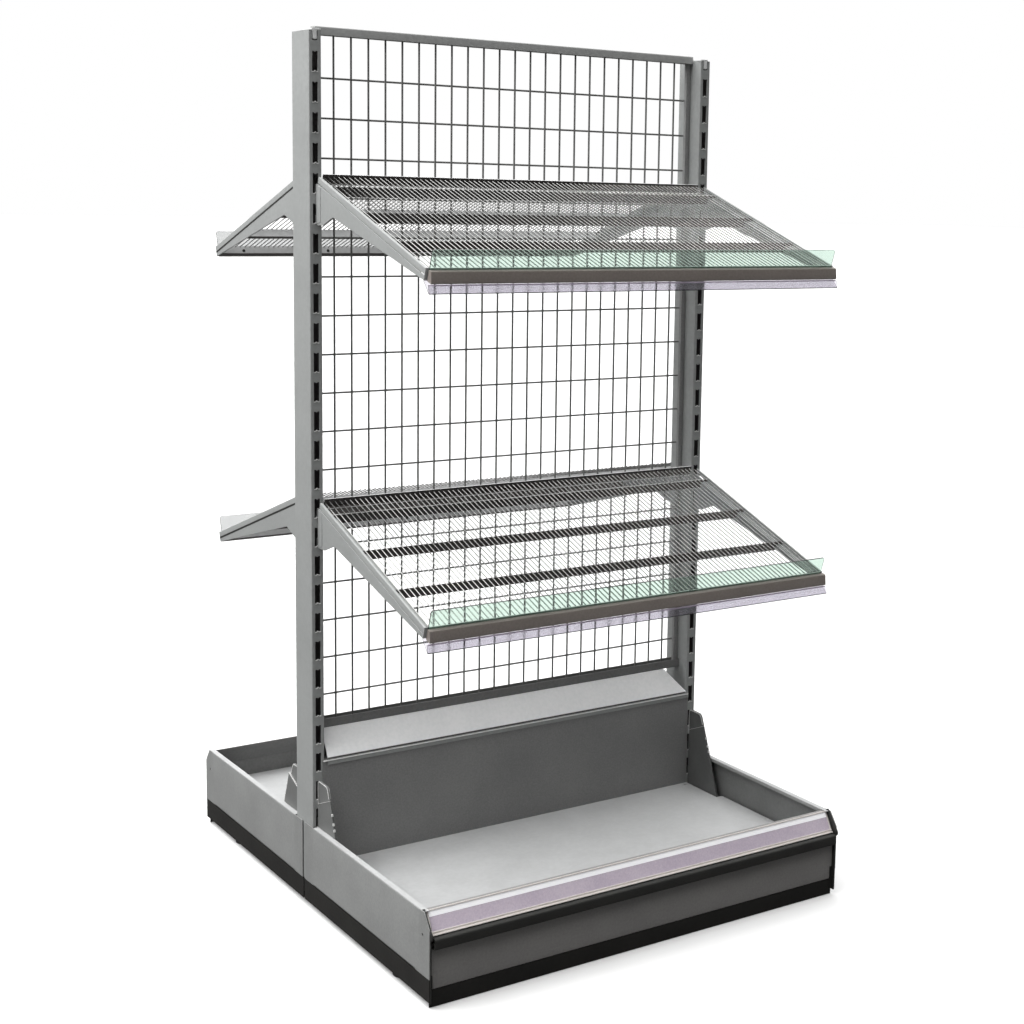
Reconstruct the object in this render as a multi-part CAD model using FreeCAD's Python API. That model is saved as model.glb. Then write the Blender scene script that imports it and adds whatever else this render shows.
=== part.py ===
import FreeCAD, Part
import math
import os

# Double-sided wire shelving bay, millimetres.
# X runs along the bay, -Y is the front, +Z is up, origin on the floor at the middle.

# Uprights
PITCH = 50.0
BAY = 800.0
UPRIGHT_W = 22.0
UPRIGHT_D = 70.0
UPRIGHT_TOP = 1520.0
UPRIGHT_BOTTOM = 24.0
WALL = 2.0
BASE_PLATE_T = 3.0
SLOT_W = 10.0
SLOT_L = 33.0
SLOT_FOOT = 103.0
SLOT_MARGIN = 17.0
TOP_NOTCH = 17.0

# Mesh back panel
RAIL_D = 20.0
RAIL_T = 1.5
TOP_RAIL_H = 14.0
TOP_RAIL_RISE = 9.0
BOTTOM_RAIL_H = 16.0
BOTTOM_RAIL_Z = 321.0
FIT_GAP = 0.5
STILE_W = 10.0
STILE_D = 8.0
MESH_WIRE_R = 1.75
MESH_COLUMNS = 24
MESH_STEP_Z = 66.7
MESH_FIRST_DROP = 70.0
HOOK_PLATE_T = 3.0
HOOK_PLATE_BACK = 8.0
HOOK_PLATE_REACH = 17.0
TONGUE_W = 7.0
TONGUE_T = 2.5
TONGUE_SINK = 15.0

# Sloped wire shelves
SHELF_SLOTS = {"upper": 23, "lower": 12}
SHELF_SLOPE = 19.0
SHELF_DROP = 5.0
SHELF_START = 5.0
SHELF_REACH = 390.0
SHELF_WIRE_R = 1.0
SHELF_WIRE_STEP = 9.5
BRACKET_T = 2.5
BRACKET_OFFSET = 1.0
BRACKET_GAP = 0.4
BRACKET_HEEL_W = 25.0
BRACKET_HEEL_SINK = 3.0
BRACKET_ROOT_Y = 65.0
BRACKET_ROOT_H = 46.0
BRACKET_RELIEF = 9.0
HOOK_NECK_H = 15.0
HOOK_LIP = 12.0
HOOK_LIP_BACK = 3.0
HOOK_LIP_T = 3.0
HOOK_DEPTH = 7.5
TAB_LIFT = 2.0
TAB_H = 12.0
TAB_REACH = 4.0
FLANGE_W = 14.0
FLANGE_T = 2.5
FLANGE_GROOVE = 1.2
FLANGE_START = 46.0
RAIL_SHEET = 1.5
SIDE_RAIL_H = 9.5
SIDE_RAIL_RISE = 0.5
SIDE_RAIL_W = 14.0
SIDE_RAIL_START = 42.0
CROSS_POSITIONS = (43.0, 168.0, 294.0)
CROSS_H = 18.5
CROSS_FOOT = 10.0
REAR_BACK = 3.0
REAR_H = 14.0
REAR_RISE = 0.5
REAR_FOOT = 6.0
LIP_H = 19.0
LIP_RISE = 1.0
LIP_FOOT = 16.0
LIP_HOLE_R = 3.0
LIP_HOLE_STEP = 172.5
LIP_HOLE_COUNT = 5
LIP_HOLE_DROP = 8.5
RISER_H = 31.0
RISER_T = 3.0
RISER_INSET = 3.0
PROFILE_T = 1.6
PROFILE_D = 7.0
PROFILE_DROP = 1.0
PROFILE_LEAN = 8.0
PROFILE_INSET = 5.0
STRIP_T = 1.4
STRIP_H = 15.0
STRIP_NOSE = 8.0

# Base: legs, trays and fronts
SIDE_X = 13.5
SIDE_T = 1.5
SIDE_TOP = 154.0
SIDE_BOTTOM = 50.0
BASE_DEPTH = 478.0
CHAMFER_Y = 18.0
CHAMFER_Z = 24.0
JOINT_GAP = 4.0
SIDE_FLANGE_W = 11.0
SIDE_HEM = 6.0
FLANGE_CLEAR = 5.0
SIDE_HOLE_R = 2.5
SIDE_HOLE_INSET = 23.0
SIDE_HOLE_DROP = 38.0
PLINTH_T = 2.0
SIDE_PLINTH_T = 1.2
PLINTH_BOTTOM = 12.0
LEG_T = 3.0
LEG_INSET = 48.0
LEG_NOSE = 14.0
LEG_TOP = 238.0
LEG_HEAD_W = 42.0
LEG_HEAD_R = 5.0
LEG_SHOULDER_Z = 231.0
LEG_FOOT_Y = 135.0
LEG_FLANGE_W = 30.0
LEG_FLANGE_T = 3.0
LEG_HOOKS = (0, 1)
LEG_HOOK_T = 4.0
LEG_HOOK_LIP = 9.0
STAY_T = 2.0
STAY_INSET = 4.0
STAY_TOP = 216.0
STAY_REAR_DROP = 20.0
STAY_HEAD_W = 53.0
STAY_BOTTOM = 60.0
DECK_TOP = 85.0
DECK_T = 1.2
DECK_FLANGE = 24.0
DECK_CLEAR = 4.0
DECK_NOTCH_X = 5.5
DECK_NOTCH_Y = 4.0
DECK_SLOT_L = 12.0
DECK_SLOT_W = 3.0
DECK_SLOT_INSET = 10.0
HAT_W = 60.0
HAT_H = 20.0
HAT_T = 1.5
KICK_T = 1.5
KICK_BOTTOM = 62.0
KICK_TOP = 272.0
KICK_OVERLAP = 4.0
KICK_FLANGE = 20.0
LEDGE_T = 1.2
LEDGE_LIP_TOP = 276.0
LEDGE_LIP_H = 11.0
LEDGE_SEAT = 9.0
LEDGE_INSET = 4.5
LEDGE_CLIP_W = 38.0
LEDGE_CLIP_H = 26.0
FACE_INSET = 6.0
FACE_T = 1.2
FACE_BOTTOM = 30.0
FACE_BEND = 117.0
FACE_CREST = 153.0
FACE_LEAN = 20.0
FACE_CAP = 8.0
FACE_RETURN = 12.0
FACE_FOOT = 14.0
FACE_NOTCH_W = 5.0
FACE_NOTCH_H = 22.0
FRONT_PLINTH_LIFT = 1.0
FRONT_PLINTH_RECESS = 1.0
BUMPER_H = 19.0
BUMPER_D = 13.0
BUMPER_R = 4.0
BUMPER_INSET = 2.5
TICKET_T = 1.5
TICKET_LIP = 2.5
TICKET_LIP_T = 2.0
CAP_T = 2.5
CAP_LENGTH = 48.0
CAP_RISE = 3.5
CAP_NOSE_Y = 6.5
CAP_NOSE_Z = 122.0
CAP_NOSE_H = 5.0
CAP_STEP_Z = 112.0
CAP_STEP_Y = 1.0
CAP_CREST_INSET = 22.0
CAP_BOTTOM = 10.0
FOOT_X = 14.0
FOOT_INSET = 138.0
PAD_R = 20.0
PAD_H = 7.0
PAD_EDGE = 2.0
COLLAR_R = 8.0
COLLAR_H = 4.0
PAD_FLOOR = 3.0
STEM_R = 5.0
STEM_TOP = 62.0
SCREW_LIFT = 0.3
HEX_R = 7.5
HEX_GAP = 0.4
HEX_H = 3.0
STEM_CLEAR = 0.05
NUT_R = 9.0
NUT_H = 8.0

# Derived positions
HALF = BAY / 2.0
INNER_X = HALF - UPRIGHT_W / 2.0
FACE = UPRIGHT_D / 2.0
WALL_IN = FACE - WALL
SLOT_COUNT = 1 + int((UPRIGHT_TOP - TOP_NOTCH - SLOT_MARGIN - SLOT_L - SLOT_FOOT) / PITCH)
RAIL_X = INNER_X - FIT_GAP
TOP_RAIL_TOP = UPRIGHT_TOP + TOP_RAIL_RISE
TOP_RAIL_Z = TOP_RAIL_TOP - TOP_RAIL_H
BOTTOM_RAIL_TOP = BOTTOM_RAIL_Z + BOTTOM_RAIL_H
STILE_X = RAIL_X - STILE_W
SIDE_OUT = HALF + SIDE_X
SIDE_IN = SIDE_OUT - SIDE_T
CAP_OUT = SIDE_IN
CAP_IN = CAP_OUT - CAP_T
LEG_OUT = HALF + LEG_T / 2.0
LEG_IN = HALF - LEG_T / 2.0
STAY_IN = LEG_IN - STAY_T
STAY_OUT = LEG_OUT + STAY_T
DECK_BOTTOM = DECK_TOP - DECK_T
DECK_X = SIDE_IN - DECK_CLEAR
NOTCH_X = HALF - DECK_NOTCH_X
NOTCH_Y = LEG_FOOT_Y + DECK_NOTCH_Y
FOOT_CENTRE_X = HALF - FOOT_X
FOOT_Y = BASE_DEPTH - FOOT_INSET
FACE_Y = BASE_DEPTH - FACE_INSET
LEG_END = BASE_DEPTH - LEG_INSET
CAP_REAR = BASE_DEPTH - CAP_LENGTH
CAP_CREST_Y = BASE_DEPTH - CAP_CREST_INSET
HEX_Z = PAD_H + COLLAR_H + HEX_GAP
KICK_X = INNER_X + KICK_OVERLAP
KICK_FRONT = FACE + KICK_T
BRACKET_OUT = HALF - BRACKET_OFFSET
BRACKET_IN = BRACKET_OUT - BRACKET_T
RAIL_IN = BRACKET_OUT - RAIL_SHEET
SLOPE = math.radians(SHELF_SLOPE)
SHELF_Y = FACE + SHELF_START
WIRE_D = 2.0 * SHELF_WIRE_R
SHELF_RUN = SHELF_REACH / math.cos(SLOPE)
WEB_TOP = -SIDE_RAIL_H - FLANGE_T


def point(x, y, z):
    return FreeCAD.Vector(x, y, z)


def box(x0, x1, y0, y1, z0, z1):
    return Part.makeBox(x1 - x0, y1 - y0, z1 - z0, point(x0, y0, z0))


def outline_x(outline, x):
    # Closed wire through (y, z) pairs at one x.
    corners = [point(x, y, z) for y, z in outline]
    return Part.makePolygon(corners + corners[:1])


def prism_x(outline, x0, x1):
    # Solid with a (y, z) outline, drawn out along X.
    return Part.Face(outline_x(outline, x0)).extrude(point(x1 - x0, 0, 0))


def tube_x(outer, inner, x0, x1):
    # Solid with a (y, z) outline and one hollow, drawn out along X.
    face = Part.Face([outline_x(outer, x0), outline_x(inner, x0)])
    return face.extrude(point(x1 - x0, 0, 0))


def rod(start, end, radius):
    span = end - start
    return Part.makeCylinder(radius, span.Length, start, span)


def mirror_x(shape):
    return shape.mirror(point(0, 0, 0), point(1, 0, 0))


def mirror_y(shape):
    return shape.mirror(point(0, 0, 0), point(0, 1, 0))


def sheet(path, thickness):
    # Outline of a folded sheet: the path and the same path moved to its left, mitred.
    normals = []
    for (y0, z0), (y1, z1) in zip(path[:-1], path[1:]):
        length = math.hypot(y1 - y0, z1 - z0)
        normals.append((-(z1 - z0) / length, (y1 - y0) / length))
    moved = []
    for index, (y, z) in enumerate(path):
        before = normals[max(index - 1, 0)]
        after = normals[min(index, len(normals) - 1)]
        scale = thickness / (1.0 + before[0] * after[0] + before[1] * after[1])
        moved.append((y + scale * (before[0] + after[0]), z + scale * (before[1] + after[1])))
    return list(path) + moved[::-1]


def slot_bottom(index):
    # Lower edge of a slot, counted up from the lowest one.
    return SLOT_FOOT + index * PITCH


def slot_top(index):
    return slot_bottom(index) + SLOT_L


def upright():
    # Box column on the left with one row of slots in its front and back walls.
    x0 = -HALF - UPRIGHT_W / 2.0
    x1 = -HALF + UPRIGHT_W / 2.0
    column = box(x0, x1, -FACE, FACE, UPRIGHT_BOTTOM, UPRIGHT_TOP)
    floor = UPRIGHT_BOTTOM + BASE_PLATE_T
    hollow = box(x0 + WALL, x1 - WALL, -WALL_IN, WALL_IN, floor, UPRIGHT_TOP)
    cuts = []
    for side in (-1.0, 1.0):
        y0 = min(side * FACE, side * WALL_IN)
        for index in range(SLOT_COUNT):
            z0 = slot_bottom(index)
            cuts.append(box(-HALF - SLOT_W / 2.0, -HALF + SLOT_W / 2.0, y0, y0 + WALL, z0, z0 + SLOT_L))
        z0 = UPRIGHT_TOP - TOP_NOTCH
        cuts.append(box(-HALF - SLOT_W / 2.0, -HALF + SLOT_W / 2.0, y0, y0 + WALL, z0, UPRIGHT_TOP))
    return column.cut(hollow).cut(Part.Compound(cuts))


def top_hooks():
    # Plates over the tops of the uprights, each with a tongue down the open front notch.
    x0 = -HALF - HOOK_PLATE_REACH + UPRIGHT_W / 2.0
    plate = box(x0, -RAIL_X, -FACE, HOOK_PLATE_BACK, UPRIGHT_TOP, UPRIGHT_TOP + HOOK_PLATE_T)
    tongue = box(-HALF - TONGUE_W / 2.0, -HALF + TONGUE_W / 2.0, -FACE, -FACE + TONGUE_T,
                 UPRIGHT_TOP - TONGUE_SINK, UPRIGHT_TOP + HOOK_PLATE_T)
    hook = plate.fuse(tongue).removeSplitter()
    return Part.Compound([hook, mirror_x(hook)])


def mesh_rails():
    # Channels along the top and bottom of the mesh, both open towards it.
    half = RAIL_D / 2.0
    top = [(half, TOP_RAIL_Z), (half, TOP_RAIL_TOP), (-half, TOP_RAIL_TOP), (-half, TOP_RAIL_Z)]
    low = [(-half, BOTTOM_RAIL_TOP), (-half, BOTTOM_RAIL_Z), (half, BOTTOM_RAIL_Z), (half, BOTTOM_RAIL_TOP)]
    return Part.Compound([prism_x(sheet(path, RAIL_T), -RAIL_X, RAIL_X) for path in (top, low)])


def mesh_stiles():
    stile = box(-RAIL_X, -STILE_X, -STILE_D / 2.0, STILE_D / 2.0,
                BOTTOM_RAIL_Z + RAIL_T, TOP_RAIL_TOP - RAIL_T)
    return Part.Compound([stile, mirror_x(stile)])


def mesh_wires():
    # Upright wires in the middle plane, level wires lying against their back.
    wires = []
    span = 2.0 * STILE_X + STILE_W
    step = span / MESH_COLUMNS
    for index in range(1, MESH_COLUMNS):
        x = -span / 2.0 + index * step
        wires.append(rod(point(x, 0, BOTTOM_RAIL_Z + RAIL_T), point(x, 0, TOP_RAIL_TOP - RAIL_T), MESH_WIRE_R))
    first = TOP_RAIL_Z - MESH_FIRST_DROP
    rows = 1 + int((first - BOTTOM_RAIL_TOP) / MESH_STEP_Z)
    for index in range(rows):
        z = first - index * MESH_STEP_Z
        y = 2.0 * MESH_WIRE_R
        wires.append(rod(point(-STILE_X, y, z), point(STILE_X, y, z), MESH_WIRE_R))
    return Part.Compound(wires)


def shelf_point(slot, along, above):
    # (y, z) of a point on the sloped shelf: along it from the back, and above its wires.
    y = -SHELF_Y - along * math.cos(SLOPE) - above * math.sin(SLOPE)
    z = slot_top(slot) - SHELF_DROP - along * math.sin(SLOPE) + above * math.cos(SLOPE)
    return (y, z)


def slab(slot, along, above, x0, x1):
    # Flat bar lying in the sloped plane.
    corners = [(along[0], above[0]), (along[1], above[0]), (along[1], above[1]), (along[0], above[1])]
    return prism_x([shelf_point(slot, s, n) for s, n in corners], x0, x1)


def bracket(slot):
    # Left bracket: tapered web with a top hook, a lower tab and a flange folded inwards.
    back = -FACE - BRACKET_GAP
    seat = slot_bottom(slot) + BRACKET_GAP
    lip = -WALL_IN + BRACKET_GAP
    low = slot_bottom(slot - 1)
    heel = low - BRACKET_HEEL_SINK
    tab = low + TAB_LIFT
    head_y = back - BRACKET_RELIEF
    root_y = -FACE - BRACKET_ROOT_Y
    edge_y, edge_z = shelf_point(slot, 0.0, WEB_TOP)
    crest_y, crest_z = shelf_point(slot, 0.0, 0.0)
    slope = math.tan(SLOPE)
    web = [
        (back, heel),
        (back, tab),
        (-WALL_IN + TAB_REACH, tab),
        (-WALL_IN + TAB_REACH, tab + TAB_H),
        (back, tab + TAB_H),
        (back, seat),
        (lip, seat),
        (lip + HOOK_LIP_BACK, seat - HOOK_LIP),
        (lip + HOOK_LIP_BACK + HOOK_LIP_T, seat - HOOK_LIP),
        (lip + HOOK_DEPTH, seat),
        (lip + HOOK_LIP_T, seat + HOOK_NECK_H),
        (back, seat + HOOK_NECK_H),
        (head_y, edge_z + (head_y - edge_y) * slope),
        shelf_point(slot, SHELF_RUN - RAIL_SHEET, WEB_TOP),
        shelf_point(slot, SHELF_RUN - RAIL_SHEET, -LIP_H),
        (root_y, crest_z + (root_y - crest_y) * slope - BRACKET_ROOT_H),
        (back - BRACKET_HEEL_W, heel),
    ]
    plate = prism_x(web, -BRACKET_OUT, -BRACKET_IN)
    along = (FLANGE_START, SHELF_RUN - LIP_FOOT)
    flange = slab(slot, along, (WEB_TOP, -SIDE_RAIL_H), -BRACKET_OUT + FLANGE_GROOVE, -BRACKET_IN + FLANGE_W)
    return plate.fuse(flange).removeSplitter()


def shelf_wires(slot):
    # Wires from the rear rail to the lip; a wire in front of an upright starts a little later.
    count = int(2.0 * RAIL_IN / SHELF_WIRE_STEP)
    end_y, end_z = shelf_point(slot, SHELF_RUN - RAIL_SHEET, -SHELF_WIRE_R)
    wires = []
    for index in range(count):
        x = (index - (count - 1) / 2.0) * SHELF_WIRE_STEP
        start = -REAR_BACK if abs(x) + WIRE_D < RAIL_X else SHELF_START
        start_y, start_z = shelf_point(slot, start, -SHELF_WIRE_R)
        wires.append(rod(point(x, start_y, start_z), point(x, end_y, end_z), SHELF_WIRE_R))
    return Part.Compound(wires)


def side_rail(slot):
    # Angle along the left edge of the shelf, standing on the bracket's flange.
    end = SHELF_RUN - RAIL_SHEET
    wall = slab(slot, (SHELF_START, end), (-SIDE_RAIL_H, SIDE_RAIL_RISE), -BRACKET_OUT, -RAIL_IN)
    floor = slab(slot, (SIDE_RAIL_START, SHELF_RUN - LIP_FOOT), (-SIDE_RAIL_H, -SIDE_RAIL_H + RAIL_SHEET),
                 -BRACKET_OUT, -BRACKET_OUT + SIDE_RAIL_W)
    return wall.fuse(floor).removeSplitter()


def cross_bar(slot, place):
    # Angle on edge under the wires, its foot turned back, with shallow ends that lie on the side rails.
    low = -WIRE_D - CROSS_H
    shallow = -SIDE_RAIL_H + RAIL_SHEET
    short = BRACKET_IN - FLANGE_W - FIT_GAP
    along = (place, place + RAIL_SHEET)
    wall = slab(slot, along, (low, -WIRE_D), -short, short)
    foot = slab(slot, (place - CROSS_FOOT, place), (low, low + RAIL_SHEET), -short, short)
    ends = slab(slot, along, (shallow, -WIRE_D), -RAIL_IN, RAIL_IN)
    return wall.fuse([foot, ends]).removeSplitter()


def rear_rail(slot):
    # Angle between the uprights that joins the back ends of the wires.
    end = RAIL_X - FIT_GAP
    back = -REAR_BACK - RAIL_SHEET
    wall = slab(slot, (back, -REAR_BACK), (-REAR_H, REAR_RISE), -end, end)
    foot = slab(slot, (-REAR_BACK, -REAR_BACK + REAR_FOOT), (-REAR_H, -REAR_H + RAIL_SHEET), -end, end)
    return wall.fuse(foot).removeSplitter()


def front_lip(slot):
    # Angle across the front of the shelf, pierced with a row of small holes.
    face = slab(slot, (SHELF_RUN - RAIL_SHEET, SHELF_RUN), (-LIP_H, LIP_RISE), -BRACKET_OUT, BRACKET_OUT)
    foot = slab(slot, (SHELF_RUN - LIP_FOOT, SHELF_RUN), (-LIP_H, -LIP_H + RAIL_SHEET), -BRACKET_IN, BRACKET_IN)
    lip = face.fuse(foot).removeSplitter()
    start_y, start_z = shelf_point(slot, SHELF_RUN - RAIL_SHEET, -LIP_HOLE_DROP)
    end_y, end_z = shelf_point(slot, SHELF_RUN, -LIP_HOLE_DROP)
    holes = []
    for index in range(LIP_HOLE_COUNT):
        x = (index - (LIP_HOLE_COUNT - 1) / 2.0) * LIP_HOLE_STEP
        holes.append(rod(point(x, start_y, start_z), point(x, end_y, end_z), LIP_HOLE_R))
    return lip.cut(Part.Compound(holes))


def shelf_frame(slot):
    # Welded frame: side rails, cross bars, rear rail and front lip.
    rail = side_rail(slot)
    bars = [cross_bar(slot, place) for place in CROSS_POSITIONS]
    return Part.Compound([rail, mirror_x(rail), rear_rail(slot), front_lip(slot)] + bars)


def riser(slot):
    # Clear plate in front of the lip, standing above the wires.
    end = BRACKET_IN - RISER_INSET
    return slab(slot, (SHELF_RUN, SHELF_RUN + RISER_T), (-LIP_H, RISER_H), -end, end)


def front_profile(slot):
    # Channel over the riser's lower edge, open to the back, whose face leans back for the reader.
    s0 = SHELF_RUN + RISER_T
    s1 = s0 + PROFILE_D
    path = [(s0, -PROFILE_DROP), (s1, -PROFILE_DROP), (s1 + PROFILE_LEAN, -LIP_H), (s0, -LIP_H)]
    section = [shelf_point(slot, s, n) for s, n in path]
    return prism_x(sheet(section, PROFILE_T), -BRACKET_OUT + PROFILE_INSET, BRACKET_OUT)


def shelf_strip(slot):
    # Hollow three-sided ticket strip under the front profile.
    front = SHELF_RUN + RISER_T + PROFILE_D + PROFILE_LEAN
    section = [(SHELF_RUN, -LIP_H), (front, -LIP_H), (front + STRIP_NOSE, -LIP_H - STRIP_H)]
    outer = [shelf_point(slot, s, n) for s, n in section]
    centre_y = sum(y for y, z in outer) / len(outer)
    centre_z = sum(z for y, z in outer) / len(outer)
    inset = 2.0 * STRIP_T / STRIP_H + STRIP_T / (front - SHELF_RUN)
    inner = [(y + (centre_y - y) * inset, z + (centre_z - z) * inset) for y, z in outer]
    return tube_x(outer, inner, -HALF, HALF)


def leg_plate():
    # Left front leg without its stay: hooked plate along the base with a nut flange.
    shoulder_y = -FACE - LEG_HEAD_W
    outline = [
        (-FACE, UPRIGHT_BOTTOM),
        (-LEG_END, UPRIGHT_BOTTOM),
        (-LEG_END, DECK_BOTTOM - LEG_NOSE),
        (-LEG_END + LEG_NOSE, DECK_BOTTOM),
        (-LEG_FOOT_Y, DECK_BOTTOM),
        (shoulder_y, LEG_SHOULDER_Z),
        (shoulder_y + LEG_HEAD_R, LEG_TOP),
        (-FACE - LEG_HEAD_R, LEG_TOP),
        (-FACE, LEG_TOP - LEG_HEAD_R),
    ]
    pieces = []
    for index in LEG_HOOKS:
        seat = slot_bottom(index)
        claw = [
            (-FACE, seat),
            (-WALL_IN, seat),
            (-WALL_IN, seat - LEG_HOOK_LIP),
            (-WALL_IN + LEG_HOOK_T, seat - LEG_HOOK_LIP),
            (-WALL_IN + LEG_HOOK_T, seat + HOOK_NECK_H),
            (-FACE, seat + HOOK_NECK_H),
        ]
        pieces.append(prism_x(claw, -LEG_OUT, -LEG_IN))
    flange_x = -LEG_OUT + LEG_FLANGE_W
    flange_top = UPRIGHT_BOTTOM + LEG_FLANGE_T
    pieces.append(box(-LEG_OUT, flange_x, -LEG_END, -FACE - LEG_HEAD_W, UPRIGHT_BOTTOM, flange_top))
    centre = point(-FOOT_CENTRE_X, -FOOT_Y, UPRIGHT_BOTTOM)
    up = point(0, 0, 1)
    pieces.append(Part.makeCylinder(NUT_R, LEG_FLANGE_T + NUT_H, centre, up))
    plate = prism_x(outline, -LEG_OUT, -LEG_IN).fuse(pieces)
    bore = Part.makeCylinder(STEM_R + STEM_CLEAR, LEG_FLANGE_T + NUT_H, centre, up)
    return plate.cut(bore).removeSplitter()


def stay(foot, x0, x1):
    # Plate that stiffens a leg's head, from a given height up, in front of the left upright.
    rear = -FACE - STAY_INSET
    head = -FACE - STAY_HEAD_W
    bend = max(foot, DECK_TOP)
    wide = head - (LEG_FOOT_Y + head) * (STAY_TOP - bend) / (STAY_TOP - DECK_TOP)
    outline = [(rear, foot), (wide, foot), (wide, bend), (head, STAY_TOP), (rear, STAY_TOP - STAY_REAR_DROP)]
    return prism_x(list(dict.fromkeys(outline)), x0, x1)


def leg_left():
    # Its stay is outside, above the side's flange.
    return Part.Compound([leg_plate(), stay(SIDE_TOP + FIT_GAP, -STAY_OUT, -LEG_OUT)])


def leg_right():
    # The same way round as the left one, so its stay is inside and reaches below the tray.
    return mirror_x(Part.Compound([leg_plate(), stay(STAY_BOTTOM, -LEG_IN, -STAY_IN)]))


def side_panel():
    # Left front side: folded sheet with a top flange that starts in front of the upright.
    front = -BASE_DEPTH
    rear = -JOINT_GAP / 2.0
    face = [
        (rear, SIDE_BOTTOM),
        (front, SIDE_BOTTOM),
        (front, SIDE_TOP - CHAMFER_Z),
        (front + CHAMFER_Y, SIDE_TOP),
        (rear, SIDE_TOP),
    ]
    panel = prism_x(face, -SIDE_OUT, -SIDE_IN)
    flange_in = -SIDE_OUT + SIDE_FLANGE_W
    start = -FACE - FLANGE_CLEAR
    end = -FACE_Y + FACE_LEAN + FACE_CAP + FIT_GAP
    top = box(-SIDE_OUT, flange_in, end, start, SIDE_TOP - SIDE_T, SIDE_TOP)
    hem = box(flange_in - SIDE_T, flange_in, end, start, SIDE_TOP - SIDE_HEM, SIDE_TOP)
    low = box(-SIDE_OUT, -LEG_OUT, -CAP_REAR, start, SIDE_BOTTOM, SIDE_BOTTOM + SIDE_T)
    panel = panel.fuse([top, hem, low])
    centre = point(-SIDE_OUT, front + SIDE_HOLE_INSET, SIDE_TOP - SIDE_HOLE_DROP)
    return panel.cut(Part.makeCylinder(SIDE_HOLE_R, SIDE_T, centre, point(1, 0, 0))).removeSplitter()


def front_plinth():
    # Strip under the front panel with a fold along its top.
    front = -FACE_Y + FRONT_PLINTH_RECESS
    path = [(-FACE_Y + FACE_FOOT, FACE_BOTTOM), (front, FACE_BOTTOM), (front, FRONT_PLINTH_LIFT)]
    return prism_x(sheet(path, PLINTH_T), -CAP_IN, CAP_IN)


def side_plinths():
    # Thin strips under the four side panels.
    rear = -JOINT_GAP / 2.0
    end = -BASE_DEPTH + FIT_GAP
    strip = box(-SIDE_IN - SIDE_PLINTH_T, -SIDE_IN, end, rear, PLINTH_BOTTOM, SIDE_BOTTOM)
    pair = [strip, mirror_x(strip)]
    return Part.Compound(pair + [mirror_y(piece) for piece in pair])


def deck():
    # Tray floor with turned-down front and back edges and a hat stiffener underneath.
    rear = -KICK_FRONT
    front = -FACE_Y + FACE_T
    low = DECK_TOP - DECK_FLANGE
    path = [(front, low), (front, DECK_TOP), (rear, DECK_TOP), (rear, low)]
    floor = prism_x(sheet(path[::-1], DECK_T), -DECK_X, DECK_X)
    cuts = []
    for side in (-1.0, 1.0):
        x0 = min(side * NOTCH_X, side * DECK_X)
        cuts.append(box(x0, x0 + DECK_X - NOTCH_X, -NOTCH_Y, rear, low, DECK_TOP))
        x1 = side * (NOTCH_X - DECK_SLOT_INSET)
        y1 = rear - DECK_SLOT_INSET
        cuts.append(box(x1 - DECK_SLOT_L / 2.0, x1 + DECK_SLOT_L / 2.0, y1 - DECK_SLOT_W / 2.0,
                        y1 + DECK_SLOT_W / 2.0, DECK_BOTTOM, DECK_TOP))
    floor = floor.cut(Part.Compound(cuts))
    middle = (rear + front) / 2.0
    base = DECK_BOTTOM - HAT_H
    hat = [(middle - HAT_W / 2.0, DECK_BOTTOM), (middle - HAT_W / 4.0, base),
           (middle + HAT_W / 4.0, base), (middle + HAT_W / 2.0, DECK_BOTTOM)]
    reach = LEG_IN - LEG_FLANGE_W
    stiffener = prism_x(sheet(hat, HAT_T), -reach, reach)
    slice_top = box(-reach, reach, front, rear, DECK_BOTTOM, DECK_TOP)
    return Part.Compound([floor, stiffener.cut(slice_top)])


def kick_panel():
    # Upright panel behind the tray with a fold at its top.
    face = box(-KICK_X, KICK_X, -KICK_FRONT, -FACE, KICK_BOTTOM, KICK_TOP)
    fold_x = RAIL_X - FIT_GAP
    fold = box(-fold_x, fold_x, -KICK_FRONT, -FACE + KICK_FLANGE, KICK_TOP - KICK_T, KICK_TOP)
    return face.fuse(fold).removeSplitter()


def ledge():
    # Sloped cover from the mesh's bottom rail to a lip on the kick panel, its right corner clipped.
    crest_y = -RAIL_D / 2.0
    lip_y = -KICK_FRONT - LEDGE_T
    seat_z = BOTTOM_RAIL_Z
    path = [
        (crest_y + LEDGE_SEAT, seat_z),
        (crest_y, seat_z),
        (lip_y, LEDGE_LIP_TOP),
        (lip_y, LEDGE_LIP_TOP - LEDGE_LIP_H),
    ]
    cover = prism_x(sheet(path, LEDGE_T), -RAIL_X + LEDGE_INSET, KICK_X)
    deep = KICK_X + LEDGE_INSET
    corner = [
        (deep, seat_z),
        (RAIL_X - LEDGE_CLIP_W, seat_z),
        (RAIL_X - LEDGE_INSET, seat_z - LEDGE_CLIP_H),
        (RAIL_X - FIT_GAP, LEDGE_LIP_TOP),
        (deep, LEDGE_LIP_TOP),
    ]
    wedge = [point(x, FACE, z) for x, z in corner]
    clip = Part.Face(Part.makePolygon(wedge + wedge[:1])).extrude(point(0, -2.0 * FACE - 2.0 * KICK_T, 0))
    return cover.cut(clip).removeSplitter()


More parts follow.
